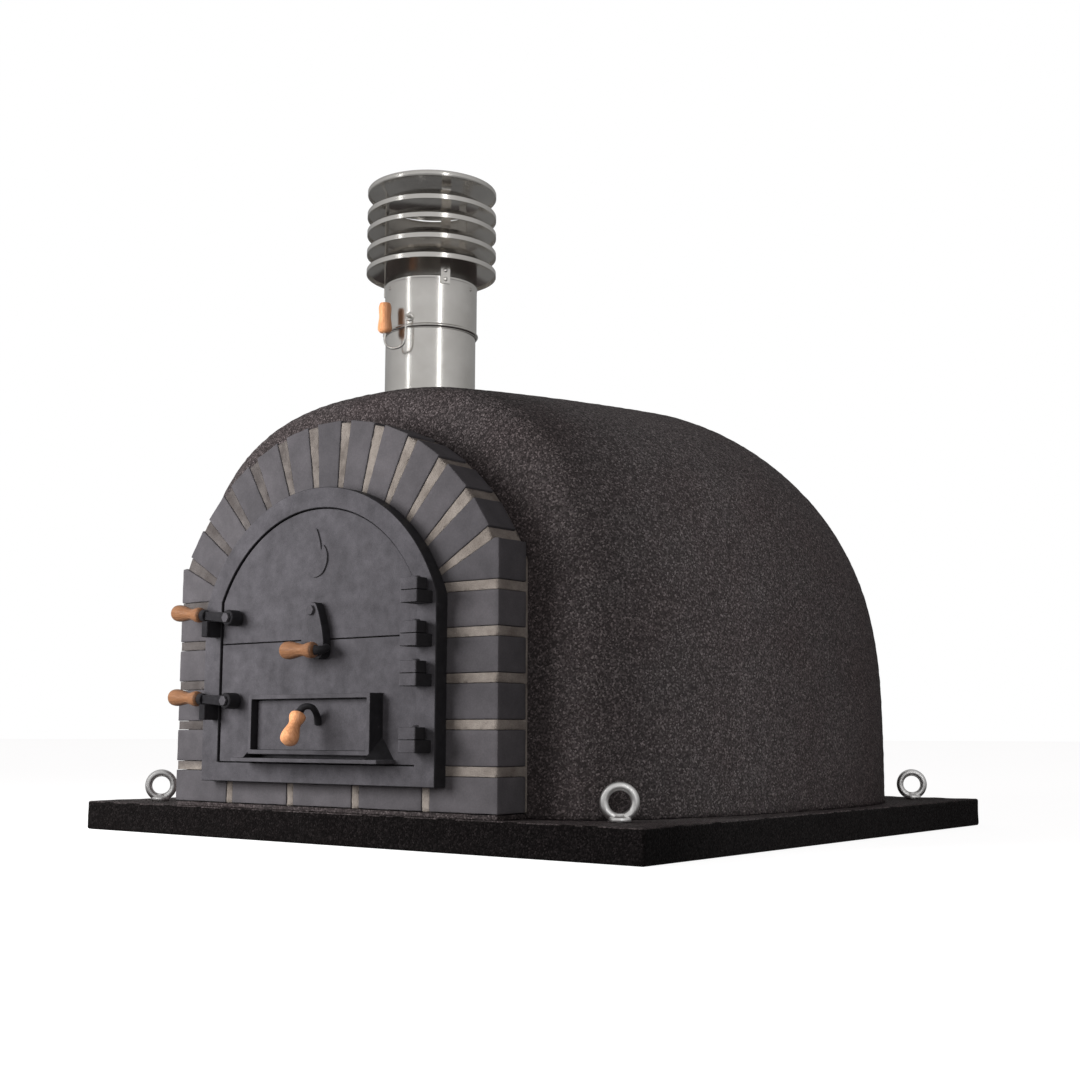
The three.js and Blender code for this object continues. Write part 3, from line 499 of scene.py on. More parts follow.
def add_turned(bm, profile, sides, place=None):
    """A profile of (radius, height) turned about Z. It ends on the axis, or where it began."""
    rings = []
    for r, z in profile:
        if r < 1e-6:
            rings.append([bm.verts.new((0, 0, z))])
            continue
        rings.append([bm.verts.new((r * math.cos(t), r * math.sin(t), z)) for t in turns(sides)])
    for a, b in zip(rings, rings[1:]):
        for i in range(sides):
            j = (i + 1) % sides
            corners = (a[i % len(a)], a[j % len(a)], b[j % len(b)], b[i % len(b)])
            if len(set(corners)) > 2:
                bm.faces.new(dict.fromkeys(corners))
    made = [v for ring in rings for v in ring]
    if profile[0] == profile[-1]:
        bmesh.ops.remove_doubles(bm, verts=rings[0] + rings[-1], dist=1e-4)
        made = [v for v in made if v.is_valid]
    if place is not None:
        bmesh.ops.transform(bm, matrix=place, verts=made)


def drum(radius, z0, z1):
    """The profile of a plain round bar."""
    return [(0, z0), (radius, z0), (radius, z1), (0, z1)]


def spline(points, per_span, closed=False):
    """A Catmull-Rom curve through the points."""
    points = [Vector(p) for p in points]
    last = points[-1]
    if closed:
        points = [last] + points + points[:2]
    else:
        points = [points[0] * 2 - points[1]] + points + [last * 2 - points[-2]]
    curve = []
    for a, b, c, d in zip(points, points[1:], points[2:], points[3:]):
        for k in range(per_span):
            t = k / per_span
            bend = (2 * a - 5 * b + 4 * c - d) * t**2
            twist = (3 * b - a - 3 * c + d) * t**3
            curve.append(0.5 * (2 * b + (c - a) * t + bend + twist))
    return curve if closed else curve + [last]


def curved(points, per_span, closed=False):
    """A smooth curve through points of two numbers each."""
    return [(p.x, p.y) for p in spline([(a, b, 0) for a, b in points], per_span, closed)]


def add_bar(bm, points, radius, sides, per_span=8):
    """A bar along a smooth path. The radius is a number, or one per path point."""
    path = spline(points, per_span)
    radii = [radius] * len(points) if isinstance(radius, (int, float)) else list(radius)
    ahead = (path[1] - path[0]).normalized()
    side = ahead.orthogonal().normalized()
    loops = []
    for i, p in enumerate(path):
        before = path[max(0, i - 1)]
        after = path[min(len(path) - 1, i + 1)]
        tangent = (after - before).normalized()
        side = (side - tangent * side.dot(tangent)).normalized()
        other = tangent.cross(side)
        along = min(i / per_span, len(radii) - 1.000001)
        k = int(along)
        r = radii[k] + (radii[min(k + 1, len(radii) - 1)] - radii[k]) * (along - k)
        loops.append([p + side * (r * math.cos(t)) + other * (r * math.sin(t)) for t in turns(sides)])
    add_capped(bm, loops)


def pointing(origin, direction):
    """The matrix that takes +Z to a direction and the origin to a place."""
    turn = Vector((0, 0, 1)).rotation_difference(Vector(direction).normalized())
    return Matrix.Translation(origin) @ turn.to_matrix().to_4x4()


def arch_outline(half_width, bottom, radius):
    """Upright sides closed by an arc, from the bottom left corner round to the left again."""
    spring = math.acos(half_width / radius)
    points = [(-half_width, bottom), (half_width, bottom)]
    for i in range(ARC_STEPS + 1):
        a = spring + (math.pi - 2 * spring) * i / ARC_STEPS
        points.append((radius * math.cos(a), ARCH_Z + radius * math.sin(a)))
    return points


def at_y(outline, y):
    return [(x, y, z) for x, z in outline]


def add_stepped(bm, outlines, levels):
    """A ring-shaped casting: at each level in Y, one outline gives way to the next."""
    loops = []
    for i, y in enumerate(levels):
        loops += [at_y(outlines[i], y), at_y(outlines[(i + 1) % len(outlines)], y)]
    add_loops(bm, loops, closed_run=True)


def rectangle(x0, x1, z0, z1):
    return [(x0, z0), (x1, z0), (x1, z1), (x0, z1)]


def rounded(corners, radius, steps=4):
    """A convex outline with its corners rounded."""
    points = []
    n = len(corners)
    for i, corner in enumerate(corners):
        here = Vector(corner)
        before = (Vector(corners[i - 1]) - here).normalized()
        after = (Vector(corners[(i + 1) % n]) - here).normalized()
        half = before.angle(after) / 2
        reach = radius / math.tan(half)
        start = here + before * reach
        end = here + after * reach
        for k in range(steps + 1):
            t = k / steps
            points.append(tuple(start * (1 - t) ** 2 + here * (2 * t * (1 - t)) + end * t**2))
    return points


def second_look(obj, look, chosen):
    """The chosen faces of a piece get another material as well."""
    obj.data.materials.append(MATERIALS[look])
    for face in obj.data.polygons:
        if chosen(face):
            face.material_index = 1


def linked(name, data):
    """A new object in the scene."""
    obj = bpy.data.objects.new(name, data)
    bpy.context.scene.collection.objects.link(obj)
    return obj


def scene_object(name, bm):
    """A bmesh in millimetres becomes an object in metres."""
    bmesh.ops.recalc_face_normals(bm, faces=bm.faces)
    bmesh.ops.scale(bm, vec=(MM, MM, MM), verts=bm.verts)
    mesh = bpy.data.meshes.new(name)
    bm.to_mesh(mesh)
    bm.free()
    return linked(name, mesh)


def piece(name, bm, look, replaced=(), body="oven_body", bevel=0.0, segments=2, smooth=35, place=None):
    """A bmesh in millimetres becomes a piece of the model that rides on a body."""
    obj = scene_object(name, bm)
    mesh = obj.data
    mesh.materials.append(MATERIALS[look])
    mesh.shade_smooth()
    if place is not None:
        placed = place.copy()
        placed.translation *= MM
        obj.matrix_world = placed
    if bevel:
        soft = obj.modifiers.new("soft_edges", "BEVEL")
        soft.width = bevel * MM
        soft.segments = segments
        soft.limit_method = "ANGLE"
        soft.angle_limit = math.radians(smooth)
        soft.harden_normals = True
        soft.miter_outer = "MITER_ARC"
    else:
        mesh.set_sharp_from_angle(angle=math.radians(smooth))
    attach(obj, body)
    if replaced:
        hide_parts(*replaced)
    return obj


def casting(name, bm, *riding, **settings):
    """An iron piece whose faces that don't look out of the door take the black hardware material: partly
    black paint on its edges, partly painted shade on the sides turned from the light.
    """
    obj = piece(name, bm, "iron", *riding, **settings)
    second_look(obj, "hardware", lambda face: abs(face.normal.y) < 0.5)


def baked(obj):
    """The object's modifiers are applied to its mesh."""
    graph = bpy.context.evaluated_depsgraph_get()
    mesh = bpy.data.meshes.new_from_object(obj.evaluated_get(graph))
    obj.modifiers.clear()
    obj.data = mesh


def cut_away(obj, bm):
    """Cuts a bmesh in millimetres out of an object."""
    tool = scene_object("tool", bm)
    modifier = obj.modifiers.new("cut", "BOOLEAN")
    modifier.operation = "DIFFERENCE"
    modifier.solver = "MANIFOLD"
    modifier.object = tool
    baked(obj)
    bpy.data.objects.remove(tool)


def lump(point, size, seed):
    """Smooth noise of a few octaves from -1 to 1, with features of about the given size."""
    p = Vector(point) / size + Vector((seed * 17.3, seed * 5.1, seed * 9.7))
    return max(-1.0, min(1.0, noise.fractal(p, 1.0, 2.0, 3)))


def roughened(bm, amplitude, size, seed, keep=None):
    """Wears the surface inwards by up to the amplitude."""
    bmesh.ops.recalc_face_normals(bm, faces=bm.faces)
    bm.normal_update()
    moves = []
    for v in bm.verts:
        if keep is None or not keep(v):
            moves.append((v, v.normal * (-amplitude * (0.5 + 0.5 * lump(v.co, size, seed)))))
    for v, move in moves:
        v.co += move


def sliced(bm, spacing):
    """Cuts the faces along planes at the given spacings in X, Y and Z."""
    for axis, step in enumerate(spacing):
        low = min(v.co[axis] for v in bm.verts)
        high = max(v.co[axis] for v in bm.verts)
        count = int((high - low) / step)
        normal = Vector((0, 0, 0))
        normal[axis] = 1
        for i in range(1, count + 1):
            where = normal * (low + (high - low) * i / (count + 1))
            geometry = bm.verts[:] + bm.edges[:] + bm.faces[:]
            bmesh.ops.bisect_plane(bm, geom=geometry, plane_co=where, plane_no=normal)


def worn(bm, edge, spacing, wear, keep=None):
    """A block's edges are rounded by (width, segments), and its faces cut up and roughened."""
    width, segments = edge
    bmesh.ops.bevel(bm, geom=bm.edges[:], offset=width, segments=segments, profile=0.5, affect="EDGES")
    sliced(bm, spacing)
    roughened(bm, *wear, keep)


def from_node(name):
    """The CAD node's mesh as a clean bmesh in millimetres, its flat faces whole."""
    bm = bmesh.new()
    bm.from_mesh(frame["nodes"][name].data)
    bmesh.ops.scale(bm, vec=(1 / MM, 1 / MM, 1 / MM), verts=bm.verts)
    bmesh.ops.remove_doubles(bm, verts=bm.verts, dist=0.01)
    bmesh.ops.dissolve_limit(bm, angle_limit=math.radians(0.5), verts=bm.verts, edges=bm.edges)
    return bm


# ---- slab ----

def slab():
    """The slab under its granular coat, and the bed that the brick face stands on."""
    _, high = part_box("base_slab")
    half, deep = high.x / MM, high.y / MM
    bm = built(add_block, (-half, half), (-deep, deep), (0, SLAB_TOP))
    worn(bm, (4, 3), (12, 12, 8), (1.2, 26, 1), keep=lambda v: v.co.z < 1)
    obj = piece("slab", bm, "slab_coat", ["base_slab"], smooth=60)
    # The slab's sides take the darker copy of the coat, as painted shade.
    second_look(obj, "slab_side_shade", lambda face: face.normal.z < 0.7)
    along = (FACE_Y + 2, SHELL_FRONT - 1)
    bm = built(add_block, (-BED_HALF_W, BED_HALF_W), along, (SLAB_TOP - 1, BED_TOP))
    worn(bm, (2, 2), (8, 8, 4), (1.2, 14, 2))
    piece("bed", bm, "slab_coat", smooth=60)


# ---- lifting eyes ----

# Where each eye stands, and how far it is turned in its thread, in degrees.
EYES = {
    "front_left": (-481.5, -469.5, 48),
    "front_right": (481.5, -469.5, 38),
    "back_left": (-481.5, 469.5, 44),
    "back_right": (481.5, 469.5, 30),
}
EYE_COLLAR = [
    (0, -28), (6, -28), (6, 0.4), (15, 0.4), (15.4, 1), (15.4, 5.2),
    (14.4, 6.2), (10.5, 7), (8.2, 8.6), (7, 11), (0, 11),
]


def lifting_eye(place, x, y, turn):
    """A forged eye: a ring, thicker at its foot, on a collar with a shank into the slab."""
    loops = []
    for a in turns(56):
        thick = EYE_WIRE_R * (1 + 0.1 * max(0, -math.sin(a)) ** 3)
        loop = []
        for t in turns(20):
            r = EYE_RING_R + thick * math.cos(t)
            loop.append((r * math.cos(a), thick * math.sin(t), EYE_CENTRE + r * math.sin(a)))
        loops.append(loop)
    bm = built(add_loops, loops, closed_run=True)
    add_turned(bm, EYE_COLLAR, 40)
    matrix = Matrix.Translation((x, y, SLAB_TOP)) @ Matrix.Rotation(math.radians(turn), 4, "Z")
    piece(f"lifting_eye_{place}", bm, "zinc", [f"eyebolt_{place}"], smooth=50, place=matrix)


# ---- shell ----

def falloff(t, power):
    return max(0.0, 1 - t**power) ** (1 / power)


def shell_half_width(y):
    if y > SHELL_WIDEST_Y:
        t = (y - SHELL_WIDEST_Y) / (SHELL_BACK - SHELL_WIDEST_Y)
        return SHELL_HALF_W * falloff(t, SHELL_BACK_PLAN_POWER)
    t = (SHELL_WIDEST_Y - y) / (SHELL_WIDEST_Y - SHELL_FRONT)
    return SHELL_FRONT_HALF_W + (SHELL_HALF_W - SHELL_FRONT_HALF_W) * falloff(t, SHELL_FRONT_PLAN_POWER)


def shell_height(y):
    if y > SHELL_HIGHEST_Y:
        t = (y - SHELL_HIGHEST_Y) / (SHELL_BACK - SHELL_HIGHEST_Y)
        return SHELL_H * falloff(t, SHELL_BACK_RISE_POWER)
    t = (SHELL_HIGHEST_Y - y) / (SHELL_HIGHEST_Y - SHELL_FRONT)
    return SHELL_H - (SHELL_H - SHELL_FRONT_H) * t


def shoulder(y):
    """How far the surface draws in near the front edge, as a quarter round."""
    rest = max(0.0, SHELL_SHOULDER - (y - SHELL_FRONT))
    return SHELL_SHOULDER - math.sqrt(SHELL_SHOULDER**2 - rest**2)


def shell_section():
    """Points of the unit section, evenly spaced along the curve at the shell's widest."""
    dense = []
    for i in range(2001):
        a = math.pi * i / 2000
        x = math.copysign(abs(math.cos(a)) ** (2 / SHELL_WIDTH_POWER), math.cos(a))
        z = max(0.0, math.sin(a)) ** (2 / SHELL_HEIGHT_POWER)
        dense.append((x, z))
    run = [0.0]
    for (x0, z0), (x1, z1) in zip(dense, dense[1:]):
        run.append(run[-1] + math.hypot((x1 - x0) * SHELL_HALF_W, (z1 - z0) * SHELL_H))
    points = []
    k = 0
    for i in range(SHELL_COLUMNS + 1):
        goal = run[-1] * i / SHELL_COLUMNS
        while k < len(run) - 2 and run[k + 1] < goal:
            k += 1
        t = (goal - run[k]) / max(1e-9, run[k + 1] - run[k])
        points.append(tuple(dense[k][m] + (dense[k + 1][m] - dense[k][m]) * t for m in (0, 1)))
    return points


def shell_rows():
    """Places along Y: close together round the front edge and where the back turns down."""
    rows = [SHELL_FRONT + SHELL_SHOULDER * (1 - math.cos(math.radians(a))) for a in range(0, 90, 9)]
    start = SHELL_FRONT + SHELL_SHOULDER
    count = 64
    rows += [start + (SHELL_WIDEST_Y - start) * i / count for i in range(count)]
    count = 84
    reach = SHELL_BACK - SHELL_WIDEST_Y
    rows += [SHELL_WIDEST_Y + reach * math.sin(math.pi / 2 * i / count) for i in range(count)]
    return rows


def throat_edge(x, z):
    """The point of the throat's opening that faces a point of the shell's front edge."""
    if z < ARCH_Z:
        return (math.copysign(THROAT_HALF_W, x), SHELL_FRONT, z)
    angle = math.atan2(z - ARCH_Z, x)
    reach = THROAT_HALF_W / max(1e-6, abs(math.cos(angle)))
    r = min(THROAT_R, reach)
    return (r * math.cos(angle), SHELL_FRONT, ARCH_Z + r * math.sin(angle))


def shell():
    """The granular coat, a shell of even thickness with openings for the throat and the flue."""
    unit = shell_section()
    bottom = SLAB_TOP + 0.3
    loops = []
    for y in shell_rows():
        width = shell_half_width(y) - shoulder(y)
        height = shell_height(y) - shoulder(y)
        loops.append([(x * width, y, max(bottom, SLAB_TOP + z * height)) for x, z in unit])
    bm = bmesh.new()
    rings = add_loops(bm, loops, closed_loop=False)
    tip = bm.verts.new((0, SHELL_BACK, bottom))
    last = rings[-1]
    for i in range(SHELL_COLUMNS):
        bm.faces.new((last[i], last[i + 1], tip))
    # The front wall runs in from the shell's edge to the throat's opening.
    front = loops[0]
    opening = [throat_edge(x, z) for x, _, z in front]
    before = rings[0]
    for k in range(1, SHELL_WALL_STEPS + 1):
        t = k / SHELL_WALL_STEPS
        inner = [[a + (b - a) * t for a, b in zip(p, q)] for p, q in zip(front, opening)]
        ring = [bm.verts.new(p) for p in inner]
        for i in range(SHELL_COLUMNS):
            bm.faces.new((before[i], before[i + 1], ring[i + 1], ring[i]))
        before = ring
    roughened(bm, 1.6, 11, 3, keep=lambda v: v.co.z < bottom + 1)
    obj = piece("shell", bm, "coat", ["render_shell"], smooth=80)
    thick = obj.modifiers.new("thickness", "SOLIDIFY")
    thick.thickness = SHELL_T * MM
    thick.offset = -1
    baked(obj)
    cut_away(obj, built(add_turned, drum(PIPE_R + 0.6, 500, 800), 96, FLUE_PLACE))


# ---- brick face ----

def brick_names():
    names = [f"brick_arch_{i:02d}" for i in range(1, 12)]
    return names + [f"brick_{row}_{k}" for row in ("left", "right", "bottom") for k in range(1, 6)]


def bricks():
    """Each brick with softened arrises, worn a little unevenly."""
    for seed, name in enumerate(brick_names()):
        bm = from_node(name)
        worn(bm, (1.8, 2), (8, 10, 8), (0.9, 15, 10 + seed))
        piece(f"worn_{name}", bm, "brick", [name], smooth=55)


def mortar():
    """The joints, struck just behind the bricks and left sandy."""
    bm = from_node("brick_mortar")
    bmesh.ops.triangulate(bm, faces=bm.faces)
    for _ in range(6):
        long_edges = [e for e in bm.edges if e.calc_length() > 9]
        if not long_edges:
            break
        bmesh.ops.subdivide_edges(bm, edges=long_edges, cuts=1)
        bmesh.ops.triangulate(bm, faces=bm.faces)
        bmesh.ops.dissolve_degenerate(bm, dist=0.01, edges=bm.edges)
    bm.normal_update()
    front = FACE_Y + 6
    moves = [(v, lump(v.co, 9, 40)) for v in bm.verts if v.co.y < front and abs(v.normal.y) > 0.5]
    for v, rise in moves:
        v.co.y += 0.9 * rise
    piece("mortar_joints", bm, "mortar", ["brick_mortar"], smooth=60)


# ---- door frame ----

def door_frame():
    """The frame with its sleeve through the brick face, its hinge lugs and its keepers."""
    seat = (LEAF_HALF_W + LEAF_GAP, LEAF_BOTTOM - LEAF_GAP, LEAF_R + LEAF_GAP)
    outlines = [arch_outline(*arch) for arch in (FRAME_ARCH, seat, MOUTH_ARCH, SLEEVE_ARCH)]
    bm = built(add_stepped, outlines, (FRAME_FRONT, LEAF_BACK + 0.7, SLEEVE_BACK, FRAME_BACK))
    casting("frame_casting", bm, ["door_frame"], bevel=2.0, segments=3)
    for name, z in HINGE_BOTTOMS.items():
        hinge_block(f"hinge_lug_{name}", z, z + LUG_H, lug_outline())
    for name, latch in LATCHES.items():
        keeper(name, *latch["keeper"])


def hinge_block(name, z0, z1, outline, body="oven_body"):
    """A square block round the hinge's axis."""
    bm = built(add_capped, [[(HINGE_X + x, HINGE_Y + y, z) for x, y in outline] for z in (z0, z1)])
    casting(name, bm, body=body, bevel=1.2)


def lug_outline():
    """A square that runs back into the frame."""
    back = FRAME_FRONT + 1 - HINGE_Y
    h = HINGE_HALF
    return rounded([(-h, -h), (h, -h), (h, back), (-h, back)], HINGE_ROUNDING)


def knuckle_outline():
    """Square, but round behind, where the knuckle turns past the frame."""
    h = HINGE_HALF
    front_two = rounded([(-h, h), (-h, -h), (h, -h), (h, 0)], HINGE_ROUNDING)[5:15]
    back = [math.radians(9 * k) for k in range(11)]
    return [(-h, h)] + front_two + [(h * math.cos(t), h * math.sin(t)) for t in back]


def keeper(name, bottom, top):
    """A block on the frame that the lever drops on."""
    bm = built(add_block, KEEPER_X, (KEEPER_FRONT, FRAME_FRONT + 1), (bottom, top))
    piece(f"keeper_{name}", bm, "hardware", bevel=2.0, segments=3)


def hinge_pins():
    """A pin through each lug and its knuckle, with a button head on top."""
    for name, bottom in HINGE_BOTTOMS.items():
        start = bottom + 3.4
        top = bottom + LUG_H + KNUCKLE_GAP + KNUCKLE_H
        profile = [(0, start), (PIN_R, start), (PIN_R, top + 0.4), (PIN_HEAD_R, top + 0.4)]
        profile += [(PIN_HEAD_R, top + 2), (PIN_HEAD_R - 1.2, top + 3), (0, top + 3)]
        bm = built(add_turned, profile, 28, Matrix.Translation((HINGE_X, HINGE_Y, 0)))
        piece(f"pin_{name}", bm, "iron", [f"hinge_pin_{name}"], smooth=40)


# ---- leaves ----

def hinge_arms(names, body):
    """The knuckles of one leaf, each with a short foot on the leaf's edge."""
    stand = FRAME_FRONT - 1.2
    foot = [(HINGE_X - 10, HINGE_Y + 4), (HINGE_X - 10, stand), (199, stand), (199, LEAF_FRONT + 1)]
    foot += [(190, LEAF_FRONT + 1), (190, LEAF_FRONT - 3), (HINGE_X - HINGE_HALF - 4, HINGE_Y + 4)]
    for name in names:
        z0 = HINGE_BOTTOMS[name] + LUG_H + KNUCKLE_GAP
        z1 = z0 + KNUCKLE_H
        hinge_block(f"knuckle_{name}", z0, z1, knuckle_outline(), body)
        bm = built(add_capped, [[(x, y, z) for x, y in foot] for z in (z0 + 0.3, z1 - 0.3)])
        piece(f"knuckle_foot_{name}", bm, "iron", body=body, bevel=0.8)


FLAME_Z = 430
FLAME = [
    (0, -34), (16, -28), (25, -12), (24, 4), (16, 14), (13, 6), (9, 22), (0, 40),
    (-9, 24), (-17, 8), (-25, -4), (-24, -18), (-13, -30),
]


def flame():
    """A plain flame in low relief."""
    outline = curved([(x, z + FLAME_Z) for x, z in FLAME], 6, closed=True)
    bm = built(add_prism, outline, LEAF_FRONT - 2.5, LEAF_FRONT + 1)
    piece("flame_relief", bm, "iron", body="upper_leaf", bevel=1.0, smooth=50)


def upper_leaf():
    """The arched leaf, its knuckles and the flame."""
    bm = built(add_prism, arch_outline(LEAF_HALF_W, SPLIT_Z + LEAF_GAP / 2, LEAF_R), LEAF_FRONT, LEAF_BACK)
    piece("leaf_upper", bm, "iron", ["door_leaf_upper"], "upper_leaf", bevel=1.4, segments=3)
    hinge_arms(("upper_a", "upper_b"), "upper_leaf")
    flame()


def lower_leaf():
    """The square leaf with the air flap's housing raised on it, and the vent through both."""
    x0, x1, z0, z1 = HOUSING
    w = HOUSING_WALL
    edge = (-LEAF_HALF_W, LEAF_HALF_W, LEAF_BOTTOM, SPLIT_Z - LEAF_GAP / 2)
    inside = (x0 + w, x1 - w, z0 + w, z1 - w)
    outlines = [rectangle(*sides) for sides in (edge, HOUSING, inside, VENT)]
    bm = built(add_stepped, outlines, (LEAF_FRONT, HOUSING_FRONT, FLAP_SEAT_Y, LEAF_BACK))
    casting("leaf_lower", bm, ["door_leaf_lower"], "lower_leaf", bevel=1.2, segments=3)
    across = (x0 - FIN_REACH, x1 + FIN_REACH)
    bm = built(add_block, across, (SHELF_FRONT, LEAF_FRONT + 1), (LEAF_BOTTOM + 1, SHELF_TOP))
    piece("housing_shelf", bm, "iron", body="lower_leaf", bevel=1.0)
    housing_fin("left", x0 + 1, -FIN_REACH)
    housing_fin("right", x1 - 1, FIN_REACH)
    hinge_arms(("lower_a", "lower_b"), "lower_leaf")


def housing_fin(side, x, reach):
    """A corner fillet on the shelf, beside the housing."""
    bm = bmesh.new()
    back, foot = LEAF_FRONT + 1, SHELF_TOP - 1
    corners = [(x, back, FIN_TOP), (x, SHELF_FRONT, foot), (x + reach, back, foot), (x, back, foot)]
    a, b, c, d = [bm.verts.new(corner) for corner in corners]
    for face in ((a, b, c), (a, c, d), (a, d, b), (b, d, c)):
        bm.faces.new(face)
    piece(f"housing_fin_{side}", bm, "hardware", body="lower_leaf", bevel=0.8)


# ---- grips ----

GRIP_PROFILE = [
    (8.5, 0.3), (11.4, 2.5), (12.1, 7), (11.2, 13), (9.3, 20), (9.1, 27),
    (10.8, 36), (12.8, 46), (13.4, 54), (12.2, 62), (8, 67),
]
DAMPER_GRIP = [(8.4, 0.3), (11.2, 4), (11.5, 10), (10.4, 19), (9.6, 26), (10.2, 36), (10.2, 43), (8.6, 48.6)]
DAMPER_GRIP_L = 50


def turned_wood(points, length):
    """A smooth profile through the points that starts and ends on the axis."""
    return [(0, 0)] + curved(points, 5) + [(0, length)]


def grip(name, origin, direction, length, body, replaced, look="wood", settled=False):
    """A turned wooden grip: a flare, a waist and a bulb. A settled one keeps the body's axes."""
    scale = length / GRIP_L
    bm = built(add_turned, turned_wood([(r, z * scale) for r, z in GRIP_PROFILE], GRIP_L * scale), 40)
    place = pointing(origin, direction)
    if settled:
        bmesh.ops.transform(bm, matrix=place, verts=bm.verts)
        place = None
    piece(name, bm, look, [replaced], body, smooth=60, place=place)


# ---- side latches ----

LATCH_BOSS = [(0, -8), (11, -8), (12.5, -6.5), (12.5, 14.5), (0, 14.5)]
LATCH_FERRULE = [(0, -12), (8.4, -12), (9.2, -9), (9.2, -3), (7.6, -0.4), (0, -0.4)]


def side_latch(name, z, tilt):
    """A lever with a round boss, a flat arm and a ferrule, its grip, and the bolt through the boss."""
    a = math.radians(tilt)
    body = f"{name}_latch"
    place = Matrix.Translation((LATCH_X, LATCH_Y, z)) @ Matrix.Rotation(a, 4, "Y")
    lying = Matrix.Rotation(math.pi / 2, 4, "X") @ Matrix.Scale(-1, 4, (0, 0, 1))
    bm = built(add_turned, LATCH_BOSS, 36, lying)
    piece(f"latch_boss_{name}", bm, "hardware", [f"latch_lever_{name}"], body, bevel=0.8, place=place)
    end = 8 - LATCH_ARM
    arm = rounded([(end, -6.5), (2, -8.5), (2, 8.5), (end, 6.5)], 2)
    bm = built(add_prism, arm, -4, 4)
    add_turned(bm, LATCH_FERRULE, 28, pointing((-LATCH_ARM, 0, 0), (-1, 0, 0)))
    piece(f"latch_arm_{name}", bm, "hardware", body=body, bevel=1.2, place=place)
    foot = (LATCH_X - LATCH_ARM * math.cos(a), LATCH_Y, z + LATCH_ARM * math.sin(a))
    grip(f"side_grip_{name}", foot, (-math.cos(a), 0, math.sin(a)), GRIP_L, body, f"latch_grip_{name}")
    bolt(f"side_bolt_{name}", LATCH_X, LATCH_Y - 8, z, f"{name}_leaf", f"latch_bolt_{name}")


def bolt(name, x, front, z, body, replaced):
    """A hexagon head on a shaft that runs back through the leaf."""
    turned = [math.pi * k / 3 for k in range(6)]
    head = [(x + BOLT_HEAD_R * math.cos(t), z + BOLT_HEAD_R * math.sin(t)) for t in turned]
    bm = built(add_prism, head, front - 4.5, front - 0.2)
    place = Matrix.Translation((x, front - 1, z)) @ Matrix.Rotation(-math.pi / 2, 4, "X")
    add_turned(bm, drum(BOLT_R, 0, LEAF_BACK - front), 24, place)
    piece(name, bm, "iron", [replaced], body, bevel=0.8)


# ---- middle latch ----

MIDDLE_FRONT = -590
MIDDLE_BACK = -574
MIDDLE_GRIP_FROM = (38, -608, 284.3)
MIDDLE_GRIP_ALONG = (-1, 0, 0.02)
MIDDLE_HORN = [
    (34, -584, 290.3), (43, -589, 288.3), (47, -597, 285.8), (44, -605, 284.3), (38.3, -608, 284.3),
]
MIDDLE_HORN_RADII = (5, 5.4, 5.6, 6.2, 7.6)
MIDDLE_PLATE = [
    (2, 12), (-6, 8), (-17, -17), (-21, -44), (-19, -58), (-6, -68),
    (14, -73), (25, -67), (27, -53), (25, -35), (19, -13), (10, 8),
]


def middle_latch():
    """A thick drop-shaped plate on its bolt, with a horn that carries the grip across its foot."""
    x, z = MIDDLE_X, MIDDLE_Z
    outline = curved([(x + a, z + b) for a, b in MIDDLE_PLATE], 5, closed=True)
    bm = built(add_prism, outline, MIDDLE_FRONT, MIDDLE_BACK)
    casting("latch_plate", bm, ["middle_latch"], "middle_latch", bevel=1.6, segments=3, smooth=50)
    bm = built(add_bar, MIDDLE_HORN, MIDDLE_HORN_RADII, 20)
    piece("latch_horn", bm, "hardware", body="middle_latch", smooth=50)
    grip("middle_grip", MIDDLE_GRIP_FROM, MIDDLE_GRIP_ALONG, GRIP_L, "middle_latch", "middle_latch_grip")
    bolt("middle_bolt", x, MIDDLE_FRONT, z, "upper_leaf", "middle_latch_bolt")


# ---- air flap ----

FLAP_GRIP_FROM = (22.5, -622, 191)
FLAP_GRIP_ALONG = (0.18, -0.56, -0.81)
FLAP_GRIP_L = 51.4
FLAP_ARM = [
    (29, FLAP_SEAT_Y - 6, 178), (33, -596, 190), (38, -608, 199.5), (35.5, -615.5, 202.5),
    (29.5, -619.5, 201), (24.5, -620.3, 196.5), (22.6, -621.8, 191.4),
]
FLAP_ARM_RADII = (6, 4.8, 4.5, 4.5, 5, 5.6, 7)


def air_flap():
    """A plate inside the housing, and a bent arm that carries its grip."""
    x0, x1, _, z1 = HOUSING
    side = HOUSING_WALL + 1.2
    edge = rectangle(x0 + side, x1 - side, FLAP_AXIS_Z - 6, z1 - side)
    bm = built(add_prism, edge, FLAP_SEAT_Y - 5.5, FLAP_SEAT_Y - 0.5)
    piece("flap_plate", bm, "iron", ["air_flap"], "air_flap", bevel=1.0)
    bm = built(add_bar, FLAP_ARM, FLAP_ARM_RADII, 18)
    piece("flap_arm", bm, "hardware", body="air_flap", smooth=50)
    hold = (FLAP_GRIP_FROM, FLAP_GRIP_ALONG, FLAP_GRIP_L)
    # The flap's grip takes the paler wood, partly as painted light where it faces down.
    grip("flap_grip", *hold, "air_flap", "air_flap_grip", look="pale_and_lit_wood", settled=True)


# ---- flue ----

PIPE_RIVET = [(0, 2.4), (1.8, 2), (2.8, 0.9), (3, 0), (0, 0)]
DAMPER_BUSH = [(3.6, 0), (7.5, 0), (7.5, 1.6), (5.4, 3), (3.6, 3), (3.6, 0)]


def sheet_tube(outer, side):
    """A closed profile for a thin tube, from a list of (outward bulge, height) up its side."""
    outside = [(outer + bulge, z) for bulge, z in side]
    inside = [(r - SHEET_T, z) for r, z in reversed(outside)]
    return outside + inside + [outside[0]]


def ridge(bulge, bottom, steps):
    """The side of a rounded ridge that runs round a tube."""
    return [(bulge * math.sin(math.pi * k / steps), bottom + RIDGE_H * k / steps) for k in range(steps + 1)]


